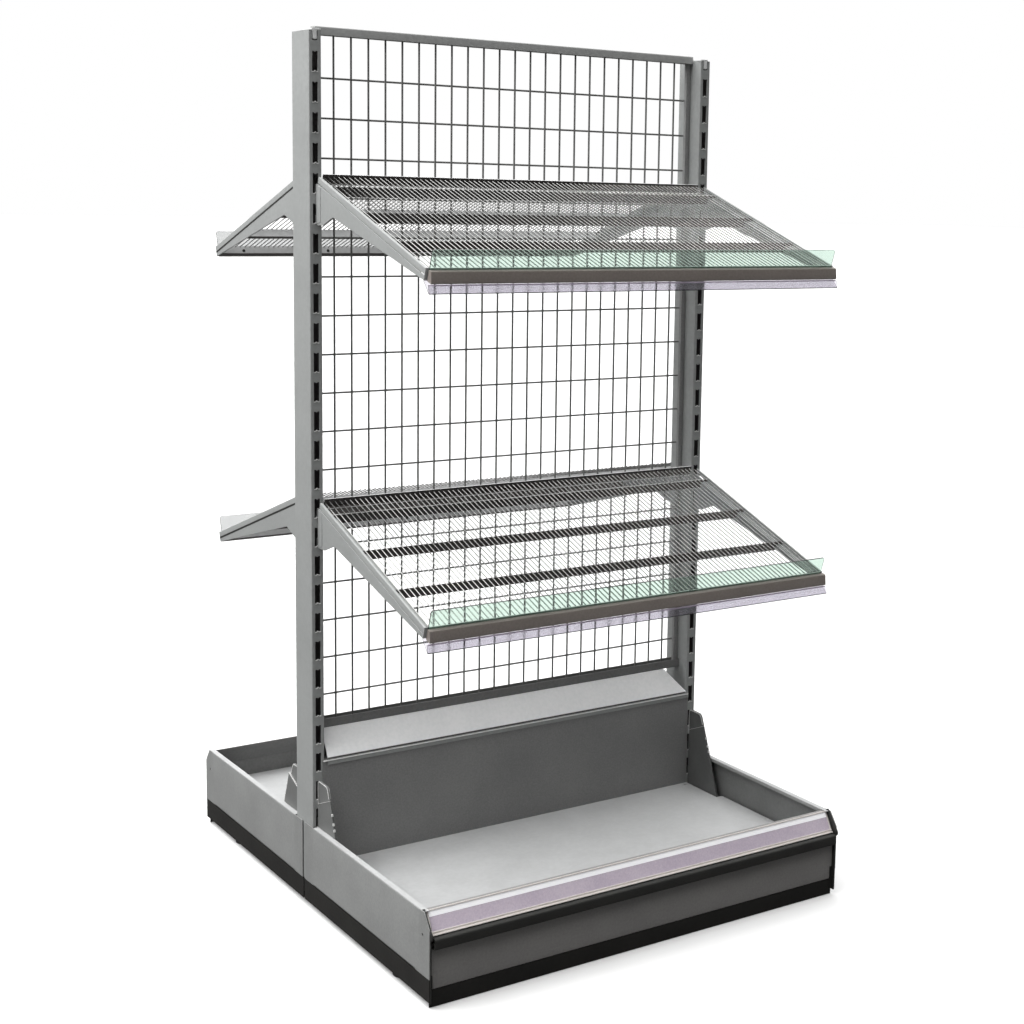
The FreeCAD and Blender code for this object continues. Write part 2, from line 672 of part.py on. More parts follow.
def front_panel():
    # Folded front: foot, face, leaning top that carries the ticket strip, and a return.
    face = -FACE_Y
    crest = face + FACE_LEAN
    path = [
        (face + FACE_FOOT, FACE_BOTTOM),
        (face, FACE_BOTTOM),
        (face, FACE_BEND),
        (crest, FACE_CREST),
        (crest + FACE_CAP, FACE_CREST),
        (crest + FACE_CAP, FACE_CREST - FACE_RETURN),
    ]
    panel = prism_x(sheet(path[::-1], FACE_T), -CAP_IN, CAP_IN)
    cuts = []
    for side in (-1.0, 1.0):
        x0 = min(side * CAP_IN, side * (CAP_IN - FACE_NOTCH_W))
        z0 = FACE_BOTTOM + FACE_T
        cuts.append(box(x0, x0 + FACE_NOTCH_W, face, face + FACE_T, z0, z0 + FACE_NOTCH_H))
    return panel.cut(Part.Compound(cuts))


def bumper():
    # Rounded bumper strip on the face, just under its bend.
    x1 = CAP_IN - BUMPER_INSET
    block = box(-x1, x1, -FACE_Y - BUMPER_D, -FACE_Y, FACE_BEND - BUMPER_H, FACE_BEND)
    front = []
    for edge in block.Edges:
        ends = [vertex.Point for vertex in edge.Vertexes]
        if all(abs(end.y + FACE_Y + BUMPER_D) < FIT_GAP for end in ends) and abs(ends[0].x - ends[1].x) > x1:
            front.append(edge)
    return block.makeFillet(BUMPER_R, front)


def base_strip():
    # Ticket strip on the leaning top, with a lip along both long edges.
    foot_y = -FACE_Y
    crest_y = -FACE_Y + FACE_LEAN
    run = math.hypot(FACE_LEAN, FACE_CREST - FACE_BEND)
    along_y = FACE_LEAN / run
    along_z = (FACE_CREST - FACE_BEND) / run

    def on_slope(along, out):
        return (foot_y + along * along_y - out * along_z, FACE_BEND + along * along_z + out * along_y)

    outline = [
        on_slope(0.0, 0.0),
        on_slope(0.0, TICKET_T + TICKET_LIP),
        on_slope(TICKET_LIP_T, TICKET_T + TICKET_LIP),
        on_slope(TICKET_LIP_T, TICKET_T),
        on_slope(run - TICKET_LIP_T, TICKET_T),
        on_slope(run - TICKET_LIP_T, TICKET_T + TICKET_LIP),
        on_slope(run, TICKET_T + TICKET_LIP),
        (crest_y, FACE_CREST),
    ]
    x1 = CAP_IN - BUMPER_INSET
    return prism_x(outline, -x1, x1)


def end_caps():
    # Plates closing both ends of the front, with a nose beside the ticket strip.
    nose = -BASE_DEPTH - CAP_NOSE_Y
    step = -BASE_DEPTH - CAP_STEP_Y
    outline = [
        (-CAP_REAR, CAP_BOTTOM),
        (step, CAP_BOTTOM),
        (step, CAP_STEP_Z),
        (nose, CAP_NOSE_Z - CAP_NOSE_H),
        (nose, CAP_NOSE_Z),
        (-CAP_CREST_Y, SIDE_TOP + CAP_RISE),
        (-CAP_REAR, SIDE_TOP - SIDE_HEM - CAP_RISE),
    ]
    plate = prism_x(outline, -CAP_OUT, -CAP_IN)
    return Part.Compound([plate, mirror_x(plate)])


def foot_pad():
    # Left front levelling pad: chamfered disc with a socket for the screw's ball end.
    up = point(0, 0, 1)
    centre = point(-FOOT_CENTRE_X, -FOOT_Y, 0)
    pad = Part.makeCylinder(PAD_R, PAD_H, centre, up)
    pad = pad.makeChamfer(PAD_EDGE, [edge for edge in pad.Edges if edge.BoundBox.ZMin > PAD_H / 2.0])
    collar = Part.makeCylinder(COLLAR_R, COLLAR_H, centre + point(0, 0, PAD_H), up)
    socket = Part.makeCylinder(STEM_R + STEM_CLEAR, PAD_H + COLLAR_H, centre + point(0, 0, PAD_FLOOR), up)
    return pad.fuse(collar).cut(socket).removeSplitter()


def foot_screw():
    # Left front levelling screw: stem in the leg's nut, with a hexagon above the pad.
    up = point(0, 0, 1)
    centre = point(-FOOT_CENTRE_X, -FOOT_Y, 0)
    start = PAD_FLOOR + SCREW_LIFT
    stem = Part.makeCylinder(STEM_R, STEM_TOP - start, centre + point(0, 0, start), up)
    ring = []
    for index in range(6):
        angle = math.radians(60.0 * index)
        ring.append(centre + point(HEX_R * math.cos(angle), HEX_R * math.sin(angle), HEX_Z))
    nut = Part.Face(Part.makePolygon(ring + ring[:1])).extrude(point(0, 0, HEX_H))
    return stem.fuse(nut).removeSplitter()


def save(name, shape):
    shape.exportStep(os.path.join("parts", name + ".step"))


os.makedirs("parts", exist_ok=True)
save("upright_left", upright())
save("upright_right", mirror_x(upright()))
save("mesh_rails", mesh_rails())
save("mesh_stiles", mesh_stiles())
save("mesh_wires", mesh_wires())
save("mesh_top_hooks", top_hooks())

for level, slot in SHELF_SLOTS.items():
    shelf = {
        "bracket_left": bracket(slot),
        "bracket_right": mirror_x(bracket(slot)),
        "frame": shelf_frame(slot),
        "wires": shelf_wires(slot),
        "riser": riser(slot),
    }
    for name, shape in shelf.items():
        save("front_" + level + "_" + name, shape)
        save("back_" + level + "_" + name, mirror_y(shape))
    save("front_" + level + "_profile", front_profile(slot))
    save("front_" + level + "_ticket_strip", shelf_strip(slot))

base = {
    "leg_left": leg_left(),
    "leg_right": leg_right(),
    "side_left": side_panel(),
    "side_right": mirror_x(side_panel()),
    "plinth": front_plinth(),
    "deck": deck(),
    "kick_panel": kick_panel(),
    "ledge": ledge(),
    "panel": front_panel(),
    "pad_left": foot_pad(),
    "pad_right": mirror_x(foot_pad()),
    "screw_left": foot_screw(),
    "screw_right": mirror_x(foot_screw()),
}
for name, shape in base.items():
    save("front_" + name, shape)
    save("back_" + name, mirror_y(shape))
save("side_plinths", side_plinths())
save("front_bumper", bumper())
save("front_base_ticket_strip", base_strip())
save("front_end_caps", end_caps())
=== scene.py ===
# %% [markdown]
# A double-sided shop shelving bay: two slotted uprights, a wire mesh back, four sloping wire shelves and
# a base with a tray on each side. The sizes come from the solid model, which is loaded first as a fixed
# frame. Every piece made below is placed in that frame and rides on one of its bodies, so that it moves
# with it.

# %% Load the frame
import math

import bmesh
import bpy
import numpy as np
from mathutils import Matrix, Vector


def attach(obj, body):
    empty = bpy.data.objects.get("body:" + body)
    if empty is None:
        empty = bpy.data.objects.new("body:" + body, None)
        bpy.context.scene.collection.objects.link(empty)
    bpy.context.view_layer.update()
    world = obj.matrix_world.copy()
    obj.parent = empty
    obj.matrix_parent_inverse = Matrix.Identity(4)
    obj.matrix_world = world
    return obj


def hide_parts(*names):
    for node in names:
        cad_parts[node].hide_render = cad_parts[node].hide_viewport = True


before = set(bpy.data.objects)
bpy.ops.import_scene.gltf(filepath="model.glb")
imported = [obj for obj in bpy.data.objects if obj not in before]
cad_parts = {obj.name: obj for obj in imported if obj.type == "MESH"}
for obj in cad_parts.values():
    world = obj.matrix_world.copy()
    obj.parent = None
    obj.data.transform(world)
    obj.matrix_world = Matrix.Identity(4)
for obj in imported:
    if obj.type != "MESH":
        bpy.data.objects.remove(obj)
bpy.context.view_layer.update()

# %% [markdown]
# The camera stands to the left of the front at about eye height. Its place, turn and lens were worked out
# from straight edges of the bay whose lengths are known. The frame is a square, and the picture is a
# little off the lens axis, which a shift of the sensor takes up. It could be set by eye in the viewport,
# but worked-out values make every edge fall where it should.

# %% Camera
scene = bpy.context.scene
YAW, PITCH, ROLL = 0.62993, -0.13263, 0.02394
FRAME_PX, FOCAL_PX, AXIS_X_PX, AXIS_Y_PX = 1024, 1712.275, 690.07, 423.80
SENSOR = 36.0
CAMERA_SPOT = (-1.58405, -2.73420, 1.26435)
forward = np.array([math.sin(YAW) * math.cos(PITCH), math.cos(YAW) * math.cos(PITCH), math.sin(PITCH)])
level_axis = np.array([math.cos(YAW), -math.sin(YAW), 0.0])
upward = np.cross(level_axis, forward)
right = math.cos(ROLL) * level_axis + math.sin(ROLL) * upward
above = -math.sin(ROLL) * level_axis + math.cos(ROLL) * upward
lens = bpy.data.cameras.new("camera")
lens.sensor_width = SENSOR
lens.lens = SENSOR * FOCAL_PX / FRAME_PX
lens.shift_x = (FRAME_PX / 2 - AXIS_X_PX) / FRAME_PX
lens.shift_y = (AXIS_Y_PX - FRAME_PX / 2) / FRAME_PX
camera = bpy.data.objects.new("camera", lens)
turn = Matrix(np.column_stack([right, above, -forward]).tolist()).to_4x4()
camera.matrix_world = Matrix.Translation(CAMERA_SPOT) @ turn
scene.collection.objects.link(camera)
scene.camera = camera
print("lens", round(lens.lens, 2), "mm")

# %% [markdown]
# Soft studio light, most of it from above, as in a shop hall. A broad overhead light stands a little to
# the left, and a lamp high on the left gives the upper part of the left sides more light than the lower
# part. The room is dim behind the camera and the ceiling brighter beyond the bay, so the fronts stay
# darker. What is seen past the object, or through its clear pieces, is white. A panorama of a hall could
# light the bay as well; a few plain lights are easier to steer.

# %% Light and room
scene.view_settings.view_transform = "Standard"


def add_node(tree, kind, inputs=None, **settings):
    """Adds one node; settings are its properties, and a socket given as an input value is linked."""
    made = tree.nodes.new(kind)
    for key, value in settings.items():
        setattr(made, key, value)
    for key, value in (inputs or {}).items():
        if isinstance(value, bpy.types.NodeSocket):
            tree.links.new(value, made.inputs[key])
        else:
            made.inputs[key].default_value = value
    return made


def ranged(tree, value, old, new=(0.0, 1.0), **settings):
    """Socket of a node that maps a value from the old range to the new one."""
    inputs = {0: value, 1: old[0], 2: old[1], 3: new[0], 4: new[1]}
    return add_node(tree, "ShaderNodeMapRange", inputs, **settings).outputs[0]


WHITE = (1.0, 1.0, 1.0, 1.0)
OVERHEAD = (-0.05, 0.20, 0.98)
world = bpy.data.worlds.new("white_room")
scene.world = world
world.use_nodes = True
tree = world.node_tree
tree.nodes.clear()
place = add_node(tree, "ShaderNodeTexCoord").outputs["Generated"]
split = add_node(tree, "ShaderNodeSeparateXYZ", {0: place})
overhead = add_node(tree, "ShaderNodeVectorMath", {0: place, 1: OVERHEAD}, operation="DOT_PRODUCT")
back_light = ranged(tree, split.outputs["Y"], (-0.9, 0.8), (0.04, 0.50), interpolation_type="SMOOTHSTEP")
ceiling = ranged(tree, overhead.outputs["Value"], (0.35, 0.95), (0.0, 1.45), interpolation_type="SMOOTHSTEP")
level_light = add_node(tree, "ShaderNodeMath", {0: back_light, 1: ceiling}, operation="ADD")
room = add_node(tree, "ShaderNodeBackground", {"Color": WHITE, "Strength": level_light.outputs[0]})
seen = add_node(tree, "ShaderNodeBackground", {"Color": WHITE, "Strength": 1.0})


def thrown_back(tree):
    """1 for light that a surface throws back, 0 for what is seen directly or through a clear piece."""
    ray = add_node(tree, "ShaderNodeLightPath").outputs
    bounced = {0: ray["Is Diffuse Ray"], 1: ray["Is Glossy Ray"]}
    either = add_node(tree, "ShaderNodeMath", bounced, operation="MAXIMUM")
    through = {0: either.outputs[0], 1: ray["Is Transmission Ray"]}
    return add_node(tree, "ShaderNodeMath", through, operation="SUBTRACT", use_clamp=True).outputs[0]


pick = add_node(tree, "ShaderNodeMixShader", {0: thrown_back(tree), 1: seen.outputs[0], 2: room.outputs[0]})
add_node(tree, "ShaderNodeOutputWorld", {"Surface": pick.outputs[0]})

CEILING_FROM, CEILING_POWER, CEILING_SPREAD = (-0.36, 0.07, 0.93), 2.7, math.radians(80)
LEFT_SPOT, LEFT_FROM, LEFT_POWER, LEFT_SIZE = (-1.7, 0.1, 2.3), (-1.2, 0.1, 0.9), 22.0, 1.2
ceiling_light = bpy.data.lights.new("ceiling_light", "SUN")
ceiling_light.energy = CEILING_POWER
ceiling_light.angle = CEILING_SPREAD
left_light = bpy.data.lights.new("left_light", "AREA")
left_light.energy = LEFT_POWER
left_light.size = LEFT_SIZE
lamps = {"ceiling_light": (ceiling_light, (0.0, 0.0, 3.0), CEILING_FROM),
         "left_light": (left_light, LEFT_SPOT, LEFT_FROM)}
for name, (lamp, spot, away) in lamps.items():
    holder = bpy.data.objects.new(name, lamp)
    aim = Vector(away).to_track_quat("Z", "Y").to_matrix().to_4x4()
    holder.matrix_world = Matrix.Translation(spot) @ aim
    scene.collection.objects.link(holder)
print("lamps", list(lamps))

# %% [markdown]
# Every colour below is written as the hex value a screen would show. One function turns it into the
# linear values that a shader works with. A second one turns a real size in millimetres into the scale of
# a texture node, which counts repeats per metre.

# %% Colour and scale
MM = 0.001


def colour(code):
    """Linear RGBA of an sRGB hex value: c / 12.92 up to 0.04045, and ((c + 0.055) / 1.055) ** 2.4 above."""
    shown = np.array([int(code[i:i + 2], 16) for i in (1, 3, 5)]) / 255.0
    linear = np.where(shown <= 0.04045, shown / 12.92, ((shown + 0.055) / 1.055) ** 2.4)
    return (*linear.tolist(), 1.0)


def per_mm(size):
    """Texture scale for one repeat in that many millimetres."""
    return 1.0 / (size * MM)


def mixed(tree, share, low, high):
    """Socket of a colour between two hex values, by the share of the second."""
    inputs = {0: share, 6: colour(low), 7: colour(high)}
    return add_node(tree, "ShaderNodeMix", inputs, data_type="RGBA").outputs[2]


def new_finish(name):
    """A material with its Principled shader and Object coordinates: (material, tree, shader, socket)."""
    made = bpy.data.materials.new(name)
    made.use_nodes = True
    tree = made.node_tree
    spot = add_node(tree, "ShaderNodeTexCoord").outputs["Object"]
    return made, tree, tree.nodes["Principled BSDF"], spot


def knobs(finish):
    """The inputs of a finish's Principled shader."""
    return finish.node_tree.nodes["Principled BSDF"].inputs


# %% [markdown]
# The studio floor is a pale painted board, so large that its far edge is lost in the white of the room.
# It has a trace of roller texture. It is seen as a lit white sweep, but throws back only as much light as
# a grey shop floor would, so that the lower half of the bay keeps its shade.

# %% Floor
FLOOR_GLOW, FLOOR_REACH = 0.13, 60.0
floor_paint, tree, shader, spot = new_finish("pale_floor_paint")
roller = add_node(tree, "ShaderNodeTexNoise", {"Vector": spot, "Scale": per_mm(400), "Detail": 3.0})
tree.links.new(mixed(tree, roller.outputs[0], "#DCDCDB", "#E2E2E2"), shader.inputs["Base Color"])
shader.inputs["Roughness"].default_value = 0.9
shader.inputs["Emission Color"].default_value = WHITE
shader.inputs["Emission Strength"].default_value = FLOOR_GLOW
grey_floor = add_node(tree, "ShaderNodeBsdfDiffuse", {"Color": colour("#606060")})
shades = {0: thrown_back(tree), 1: shader.outputs[0], 2: grey_floor.outputs[0]}
sweep = add_node(tree, "ShaderNodeMixShader", shades)
tree.links.new(sweep.outputs[0], tree.nodes["Material Output"].inputs["Surface"])
floor_mesh = bpy.data.meshes.new("floor")
floor_corners = FLOOR_REACH * np.array([(-1, -1, 0), (1, -1, 0), (1, 1, 0), (-1, 1, 0)], float)
floor_mesh.from_pydata(floor_corners.tolist(), [], [(0, 1, 2, 3)])
floor_mesh.materials.append(floor_paint)
floor = bpy.data.objects.new("floor", floor_mesh)
scene.collection.objects.link(floor)
print("floor", floor_corners.max() * 2, "m wide")

# %% [markdown]
# Most of the bay is sheet steel with a baked powder coat. The powder melts into a slightly dimpled skin,
# like the peel of an orange, with a soft sheen. Handling leaves faint cloudy patches. The real dimples
# are about 1 mm apart, too fine to show here, so each finish draws its grain several times coarser. One
# function makes all these coats, because they differ only in colours, gloss and the size of their patches
# and grain.

# %% Powder coats


def powder_coat(name, low, high, patch, grain, gloss, lift):
    """Colour goes from low to high over cloudy patches with the grain on top, and the grain also moves the
    roughness between the two values of gloss and lifts the surface. Patch, grain and lift are in mm."""
    made, tree, shader, spot = new_finish(name)
    cloud = add_node(tree, "ShaderNodeTexNoise", {"Vector": spot, "Scale": per_mm(patch), "Detail": 5.0})
    peel = add_node(tree, "ShaderNodeTexNoise", {"Vector": spot, "Scale": per_mm(grain), "Detail": 2.0})
    both = add_node(tree, "ShaderNodeMath", {0: peel.outputs[0], 1: 1.2, 2: cloud.outputs[0]},
                    operation="MULTIPLY_ADD")
    share = ranged(tree, both.outputs[0], (0.8, 1.4))
    tree.links.new(mixed(tree, share, low, high), shader.inputs["Base Color"])
    tree.links.new(ranged(tree, peel.outputs[0], (0.3, 0.7), gloss), shader.inputs["Roughness"])
    raised = {"Height": peel.outputs[0], "Strength": 0.5, "Distance": lift * MM}
    tree.links.new(add_node(tree, "ShaderNodeBump", raised).outputs[0], shader.inputs["Normal"])
    return made


light_coat = powder_coat("light_grey_powder_coat", "#949695", "#9FA1A0", 120, 7, (0.42, 0.58), 0.15)
side_coat = powder_coat("base_side_powder_coat", "#848584", "#939493", 90, 4, (0.45, 0.60), 0.15)
dark_coat = powder_coat("dark_grey_powder_coat", "#7A7A7A", "#898988", 140, 3, (0.42, 0.58), 0.20)
front_coat = powder_coat("front_panel_powder_coat", "#82807F", "#8F8D8B", 80, 4, (0.40, 0.55), 0.20)
leg_coat = powder_coat("leg_powder_coat", "#676867", "#737473", 60, 5, (0.40, 0.55), 0.15)
# A darker copy of the leg coat, painted shade on the right legs.
shaded_leg_coat = powder_coat("shaded_leg_powder_coat", "#545554", "#5F605F", 60, 5, (0.40, 0.55), 0.15)
rail_coat = powder_coat("mid_grey_powder_coat", "#A2A3A2", "#AEAFAE", 100, 6, (0.40, 0.55), 0.15)
# A darker copy of the rail coat, painted shade on the mesh's low rail and on the front panels' inner faces.
shade_grey_coat = powder_coat("shade_grey_powder_coat", "#6A6A69", "#777776", 100, 5, (0.40, 0.55), 0.15)
mesh_coat = powder_coat("mesh_grey_dip_coat", "#646463", "#727270", 60, 5, (0.40, 0.55), 0.10)
plinth_coat = powder_coat("black_powder_coat", "#1F1E1D", "#2A2927", 70, 5, (0.70, 0.85), 0.20)
knobs(plinth_coat)["Specular IOR Level"].default_value = 0.25
print("coats", [m.name for m in bpy.data.materials])

# %% [markdown]
# The tray floors and the sloped covers behind them are zinc-rich primed sheet: pale, faintly green grey,
# with soft clouds a few centimetres wide that show where the bath and the wiping cloth went. The same
# function serves, because only the colours and the size of the clouds differ.

# %% Tray coat
tray_coat = powder_coat("zinc_grey_tray_coat", "#ACADAD", "#B7B8B8", 60, 8, (0.45, 0.65), 0.15)
ledge_coat = powder_coat("pale_grey_cover_coat", "#EFF0F0", "#F8F8F8", 60, 6, (0.40, 0.55), 0.15)
# A near-black coat of painted shade: inside the uprights, on the shelf bars, on the rear angles' inner side,
# on the lips' feet and in the strip above the cover's groove.
shade_coat = powder_coat("painted_shade_coat", "#413D3C", "#4D4947", 30, 4, (0.60, 0.80), 0.10)
print("tray, cover and primer finishes")

# %% [markdown]
# Plastics, rubber and bare metal. Extruded strips have a smoother skin than the coats; the rubber bumper
# is dull, and the moulded caps and pads show a fine spark-eroded grain. The shelf wires are bright drawn
# wire: they mirror the light above and the dim floor below, so they look white over the dark channels and
# grey in front of the white room. The label paper glows a little, painted light that keeps it white. A
# near-white coat is painted highlight on edges that catch the light. Each could have a shader of its
# own, but the coat's function with other sizes and gloss comes as near.

# %% Plastics and metals
PAPER_PAINTED_GLOW = 0.14
profile_plastic = powder_coat("brown_grey_extruded_plastic", "#7F7772", "#8B837D", 150, 4, (0.30, 0.45),
                              0.08)
rubber = powder_coat("black_bumper_rubber", "#1B1B19", "#282825", 60, 4, (0.55, 0.75), 0.15)
black_plastic = powder_coat("black_moulded_plastic", "#1D1D1C", "#2A2A28", 50, 3, (0.45, 0.60), 0.15)
cream_plastic = powder_coat("cream_extruded_plastic", "#D8D2CD", "#E2DDD9", 120, 4, (0.30, 0.42), 0.05)
hook_plastic = powder_coat("pale_moulded_plastic", "#E2E3E2", "#ECEDEC", 40, 3, (0.35, 0.50), 0.05)
label_paper = powder_coat("white_label_paper", "#EDEDF0", "#F5F5F7", 80, 2, (0.35, 0.45), 0.03)
label_card = powder_coat("lavender_label_card", "#B9ADBC", "#CABFCA", 70, 3, (0.30, 0.42), 0.05)
zinc = powder_coat("zinc_plated_steel", "#9A9B9A", "#B4B5B2", 20, 3, (0.28, 0.45), 0.05)
bright_wire = powder_coat("bright_drawn_wire", "#969694", "#A8A8A6", 30, 3, (0.18, 0.30), 0.03)
# A near-white coat for painted highlights on edges that catch the light.
highlight_coat = powder_coat("painted_highlight_coat", "#D6D6D4", "#E6E6E4", 12, 2, (0.35, 0.50), 0.03)
for metal in (zinc, bright_wire):
    knobs(metal)["Metallic"].default_value = 1.0
# The paper's glow is painted light.
knobs(label_paper)["Emission Color"].default_value = WHITE
knobs(label_paper)["Emission Strength"].default_value = PAPER_PAINTED_GLOW
print("plastics, paper and bare metals")

# %% [markdown]
# Clear plastics. The upstand along each front shelf is acrylic sheet with a breath of green, the back
# ones are colourless, and the ticket strip below is PVC with a faint lavender cast. All let light through
# and bend it a little; handling marks show as patches that are less polished. A plain see-through mix
# would render faster, but it wouldn't bend what lies behind.

# %% Clear plastics


def clear_plastic(name, tint, ior, gloss):
    """Transmitting plastic whose roughness moves between the two values of gloss in handled patches."""
    made, tree, shader, spot = new_finish(name)
    shader.inputs["Base Color"].default_value = colour(tint)
    shader.inputs["Transmission Weight"].default_value = 1.0
    shader.inputs["IOR"].default_value = ior
    marks = add_node(tree, "ShaderNodeTexNoise", {"Vector": spot, "Scale": per_mm(35), "Detail": 4.0})
    tree.links.new(ranged(tree, marks.outputs[0], (0.4, 0.7), gloss), shader.inputs["Roughness"])
    return made


green_acrylic = clear_plastic("pale_green_acrylic", "#BFD1C7", 1.49, (0.0, 0.05))
clear_acrylic = clear_plastic("clear_acrylic", "#BEBFBF", 1.49, (0.0, 0.05))
clear_pvc = clear_plastic("clear_strip_pvc", "#D3D1D7", 1.45, (0.02, 0.10))
print("clear plastics", [m.name for m in (green_acrylic, clear_acrylic, clear_pvc)])

# %% [markdown]
# Almost every piece here is folded sheet, drawn profile or round wire, so a few functions cover the bay.
# A shape is a pair: points in millimetres, and blocks of faces that each have a tag, 1 for the inner side
# of a fold and 0 elsewhere. An outline is carried along a straight path, which is how such profiles are
# rolled and extruded. Blender's cubes and curves could be stretched into the same forms; points worked
# out in rows keep every size exact.

# %% Outlines


def oblong(a0, a1, b0, b1):
    """The four corners of a rectangle."""
    return [(a0, b0), (a1, b0), (a1, b1), (a0, b1)]


def circle(radius, sides):
    """Points at equal angles on a circle."""
    angle = 2 * np.pi * np.arange(sides) / sides
    return radius * np.column_stack([np.cos(angle), np.sin(angle)])


def rounded(points, radius, steps=4, closed=False):
    """Puts a curve in each corner c. With a and b on its two sides, as far off as a circle of the radius
    would touch, the curve is (1-t)^2 a + 2t(1-t) c + t^2 b for t from 0 to 1."""
    points = np.asarray(points, float)
    corner = points if closed else points[1:-1]
    back = (np.roll(points, 1, axis=0) if closed else points[:-2]) - corner
    ahead = (np.roll(points, -1, axis=0) if closed else points[2:]) - corner
    back_length = np.linalg.norm(back, axis=1, keepdims=True)
    ahead_length = np.linalg.norm(ahead, axis=1, keepdims=True)
    back, ahead = back / back_length, ahead / ahead_length
    cosine = (back * ahead).sum(axis=1, keepdims=True)
    reach = np.asarray(radius, float).reshape(-1, 1) * np.sqrt((1 + cosine) / (1 - cosine))
    reach = np.minimum(reach, 0.45 * np.minimum(back_length, ahead_length))[:, None]
    t = np.linspace(0, 1, steps + 1)[None, :, None]
    corner, back, ahead = corner[:, None], back[:, None], ahead[:, None]
    start, end = corner + back * reach, corner + ahead * reach
    curve = ((1 - t) ** 2 * start + 2 * t * (1 - t) * corner + t ** 2 * end).reshape(-1, 2)
    return curve if closed else np.vstack([points[:1], curve, points[-1:]])


def sheet(path, thickness, bend):
    """Outline of a folded sheet: its line with rounded bends, then the same line moved to its left and run
    back. A point moves by thickness (n + m) / (1 + n.m), with n and m the left-hand normals before and after
    it."""
    line = rounded(path, bend)
    step = np.diff(line, axis=0)
    step /= np.linalg.norm(step, axis=1, keepdims=True)
    normal = np.column_stack([-step[:, 1], step[:, 0]])
    before, after = np.vstack([normal[:1], normal]), np.vstack([normal, normal[-1:]])
    moved = line + thickness * (before + after) / (1 + (before * after).sum(axis=1, keepdims=True))
    return np.vstack([line, moved[::-1]])


# %% Carried shapes


def drawn_out(outline, start, end, across=(0, 1, 0), up=(0, 0, 1), block=False):
    """Carries a closed outline from start to end: start + a across + b up for each of its points (a, b), and
    the same at end. A sheet is closed at its ends by quads across its thickness, a block by one face."""
    outline = np.asarray(outline, float)
    count = len(outline)
    flat = outline[:, :1] * np.asarray(across, float) + outline[:, 1:] * np.asarray(up, float)
    points = np.vstack([flat + np.asarray(start, float), flat + np.asarray(end, float)])
    i = np.arange(count)
    after = np.roll(i, -1)
    walls = np.column_stack([i, after, after + count, i + count])
    if block:
        return points, [(walls, 0), (i[None], 0), (i[None] + count, 1)]
    half = count // 2
    j = np.arange(half - 1)
    cap = np.column_stack([j, j + 1, count - 2 - j, count - 1 - j])
    ends = np.vstack([cap, cap + count])
    return points, [(walls[:half], 0), (walls[half:-1], 1), (walls[-1:], 0), (ends, 0)]


def along_x(outline, x0, x1, block=False):
    """A (y, z) outline carried along the bay from x0 to x1."""
    return drawn_out(outline, (x0, 0, 0), (x1, 0, 0), block=block)


def along_y(outline, y0, y1, block=False):
    """An (x, z) outline carried from front to back."""
    return drawn_out(outline, (0, y0, 0), (0, y1, 0), (1, 0, 0), block=block)


def along_z(outline, z0, z1, spot=(0, 0)):
    """A block with an (x, y) outline about a spot, carried upwards."""
    return drawn_out(outline, (*spot, z0), (*spot, z1), (1, 0, 0), (0, 1, 0), block=True)


def spots(x, y, z):
    """Rows of points from their coordinates, any of which may be one number for all."""
    return np.column_stack(np.broadcast_arrays(x, y, z))


def joined(*shapes):
    """All the shapes' points in a row, with each shape's faces counted on from its first point."""
    starts = np.cumsum([0] + [len(points) for points, _ in shapes])
    blocks = [(faces + start, tag) for start, shape in zip(starts, shapes) for faces, tag in shape[1]]
    return np.vstack([points for points, _ in shapes]), blocks


def moved(shape, by):
    """The shape, shifted."""
    points, blocks = shape
    return points + np.asarray(by, float), blocks


def mirrored(shape, axis):
    """The shape beyond the middle: one coordinate changes sign, and the faces run the other way."""
    points, blocks = shape
    flip = np.ones(3)
    flip[axis] = -1
    return points * flip, [(faces[:, ::-1], tag) for faces, tag in blocks]


def pair(shape):
    """The shape and its mirror image across the bay."""
    return joined(shape, mirrored(shape, 0))


def for_hand(hand, shape):
    """The shape as it is for the left, mirrored for the right."""
    return mirrored(shape, 0) if hand == "right" else shape


def for_side(side, shape):
    """The shape as it is for the front, mirrored for the back."""
    return mirrored(shape, 1) if side == "back" else shape


# %% Round shapes


def rods(starts, ends, radius, sides=8):
    """Round wires between rows of points, all at once: rings at start + l d + r (cos a u + sin a v), where d
    runs along the wire and u, v across it; the first and last rings are drawn in, which rounds the ends."""
    starts, ends = np.asarray(starts, float), np.asarray(ends, float)
    run = ends - starts
    length = np.linalg.norm(run, axis=1, keepdims=True)
    run = run / length
    side = np.cross(run, (0.36, 0.48, 0.8))
    side /= np.linalg.norm(side, axis=1, keepdims=True)
    other = np.cross(run, side)
    angle = 2 * np.pi * np.arange(sides) / sides
    ring = np.cos(angle)[:, None] * side[:, None] + np.sin(angle)[:, None] * other[:, None]
    travel = np.hstack([0 * length, 0 * length + radius / 2, length - radius / 2, length])
    size = radius * np.array([0.6, 1.0, 1.0, 0.6])
    centre = starts[:, None] + travel[..., None] * run[:, None]
    points = centre[:, :, None] + size[:, None, None] * ring[:, None]
    wire = 4 * sides * np.arange(len(starts))[:, None, None]
    band = sides * np.arange(3)[:, None]
    i, after = np.arange(sides), np.roll(np.arange(sides), -1)
    walls = [wire + band + i, wire + band + after, wire + band + sides + after, wire + band + sides + i]
    caps = wire + sides * np.array([0, 3])[:, None] + i
    faces = [(np.stack(walls, axis=3).reshape(-1, 4), 0), (caps.reshape(-1, sides), 0)]
    return points.reshape(-1, 3), faces


def ring_points(radius, height, centre, sides):
    """Points (r cos a, r sin a, z) on a ring at each height, about the upright through centre."""
    angle = 2 * np.pi * np.arange(sides) / sides
    round_about = np.broadcast_arrays(radius * np.cos(angle), radius * np.sin(angle), height[:, None])
    return np.stack(round_about, axis=2).reshape(-1, 3) + np.asarray(centre)


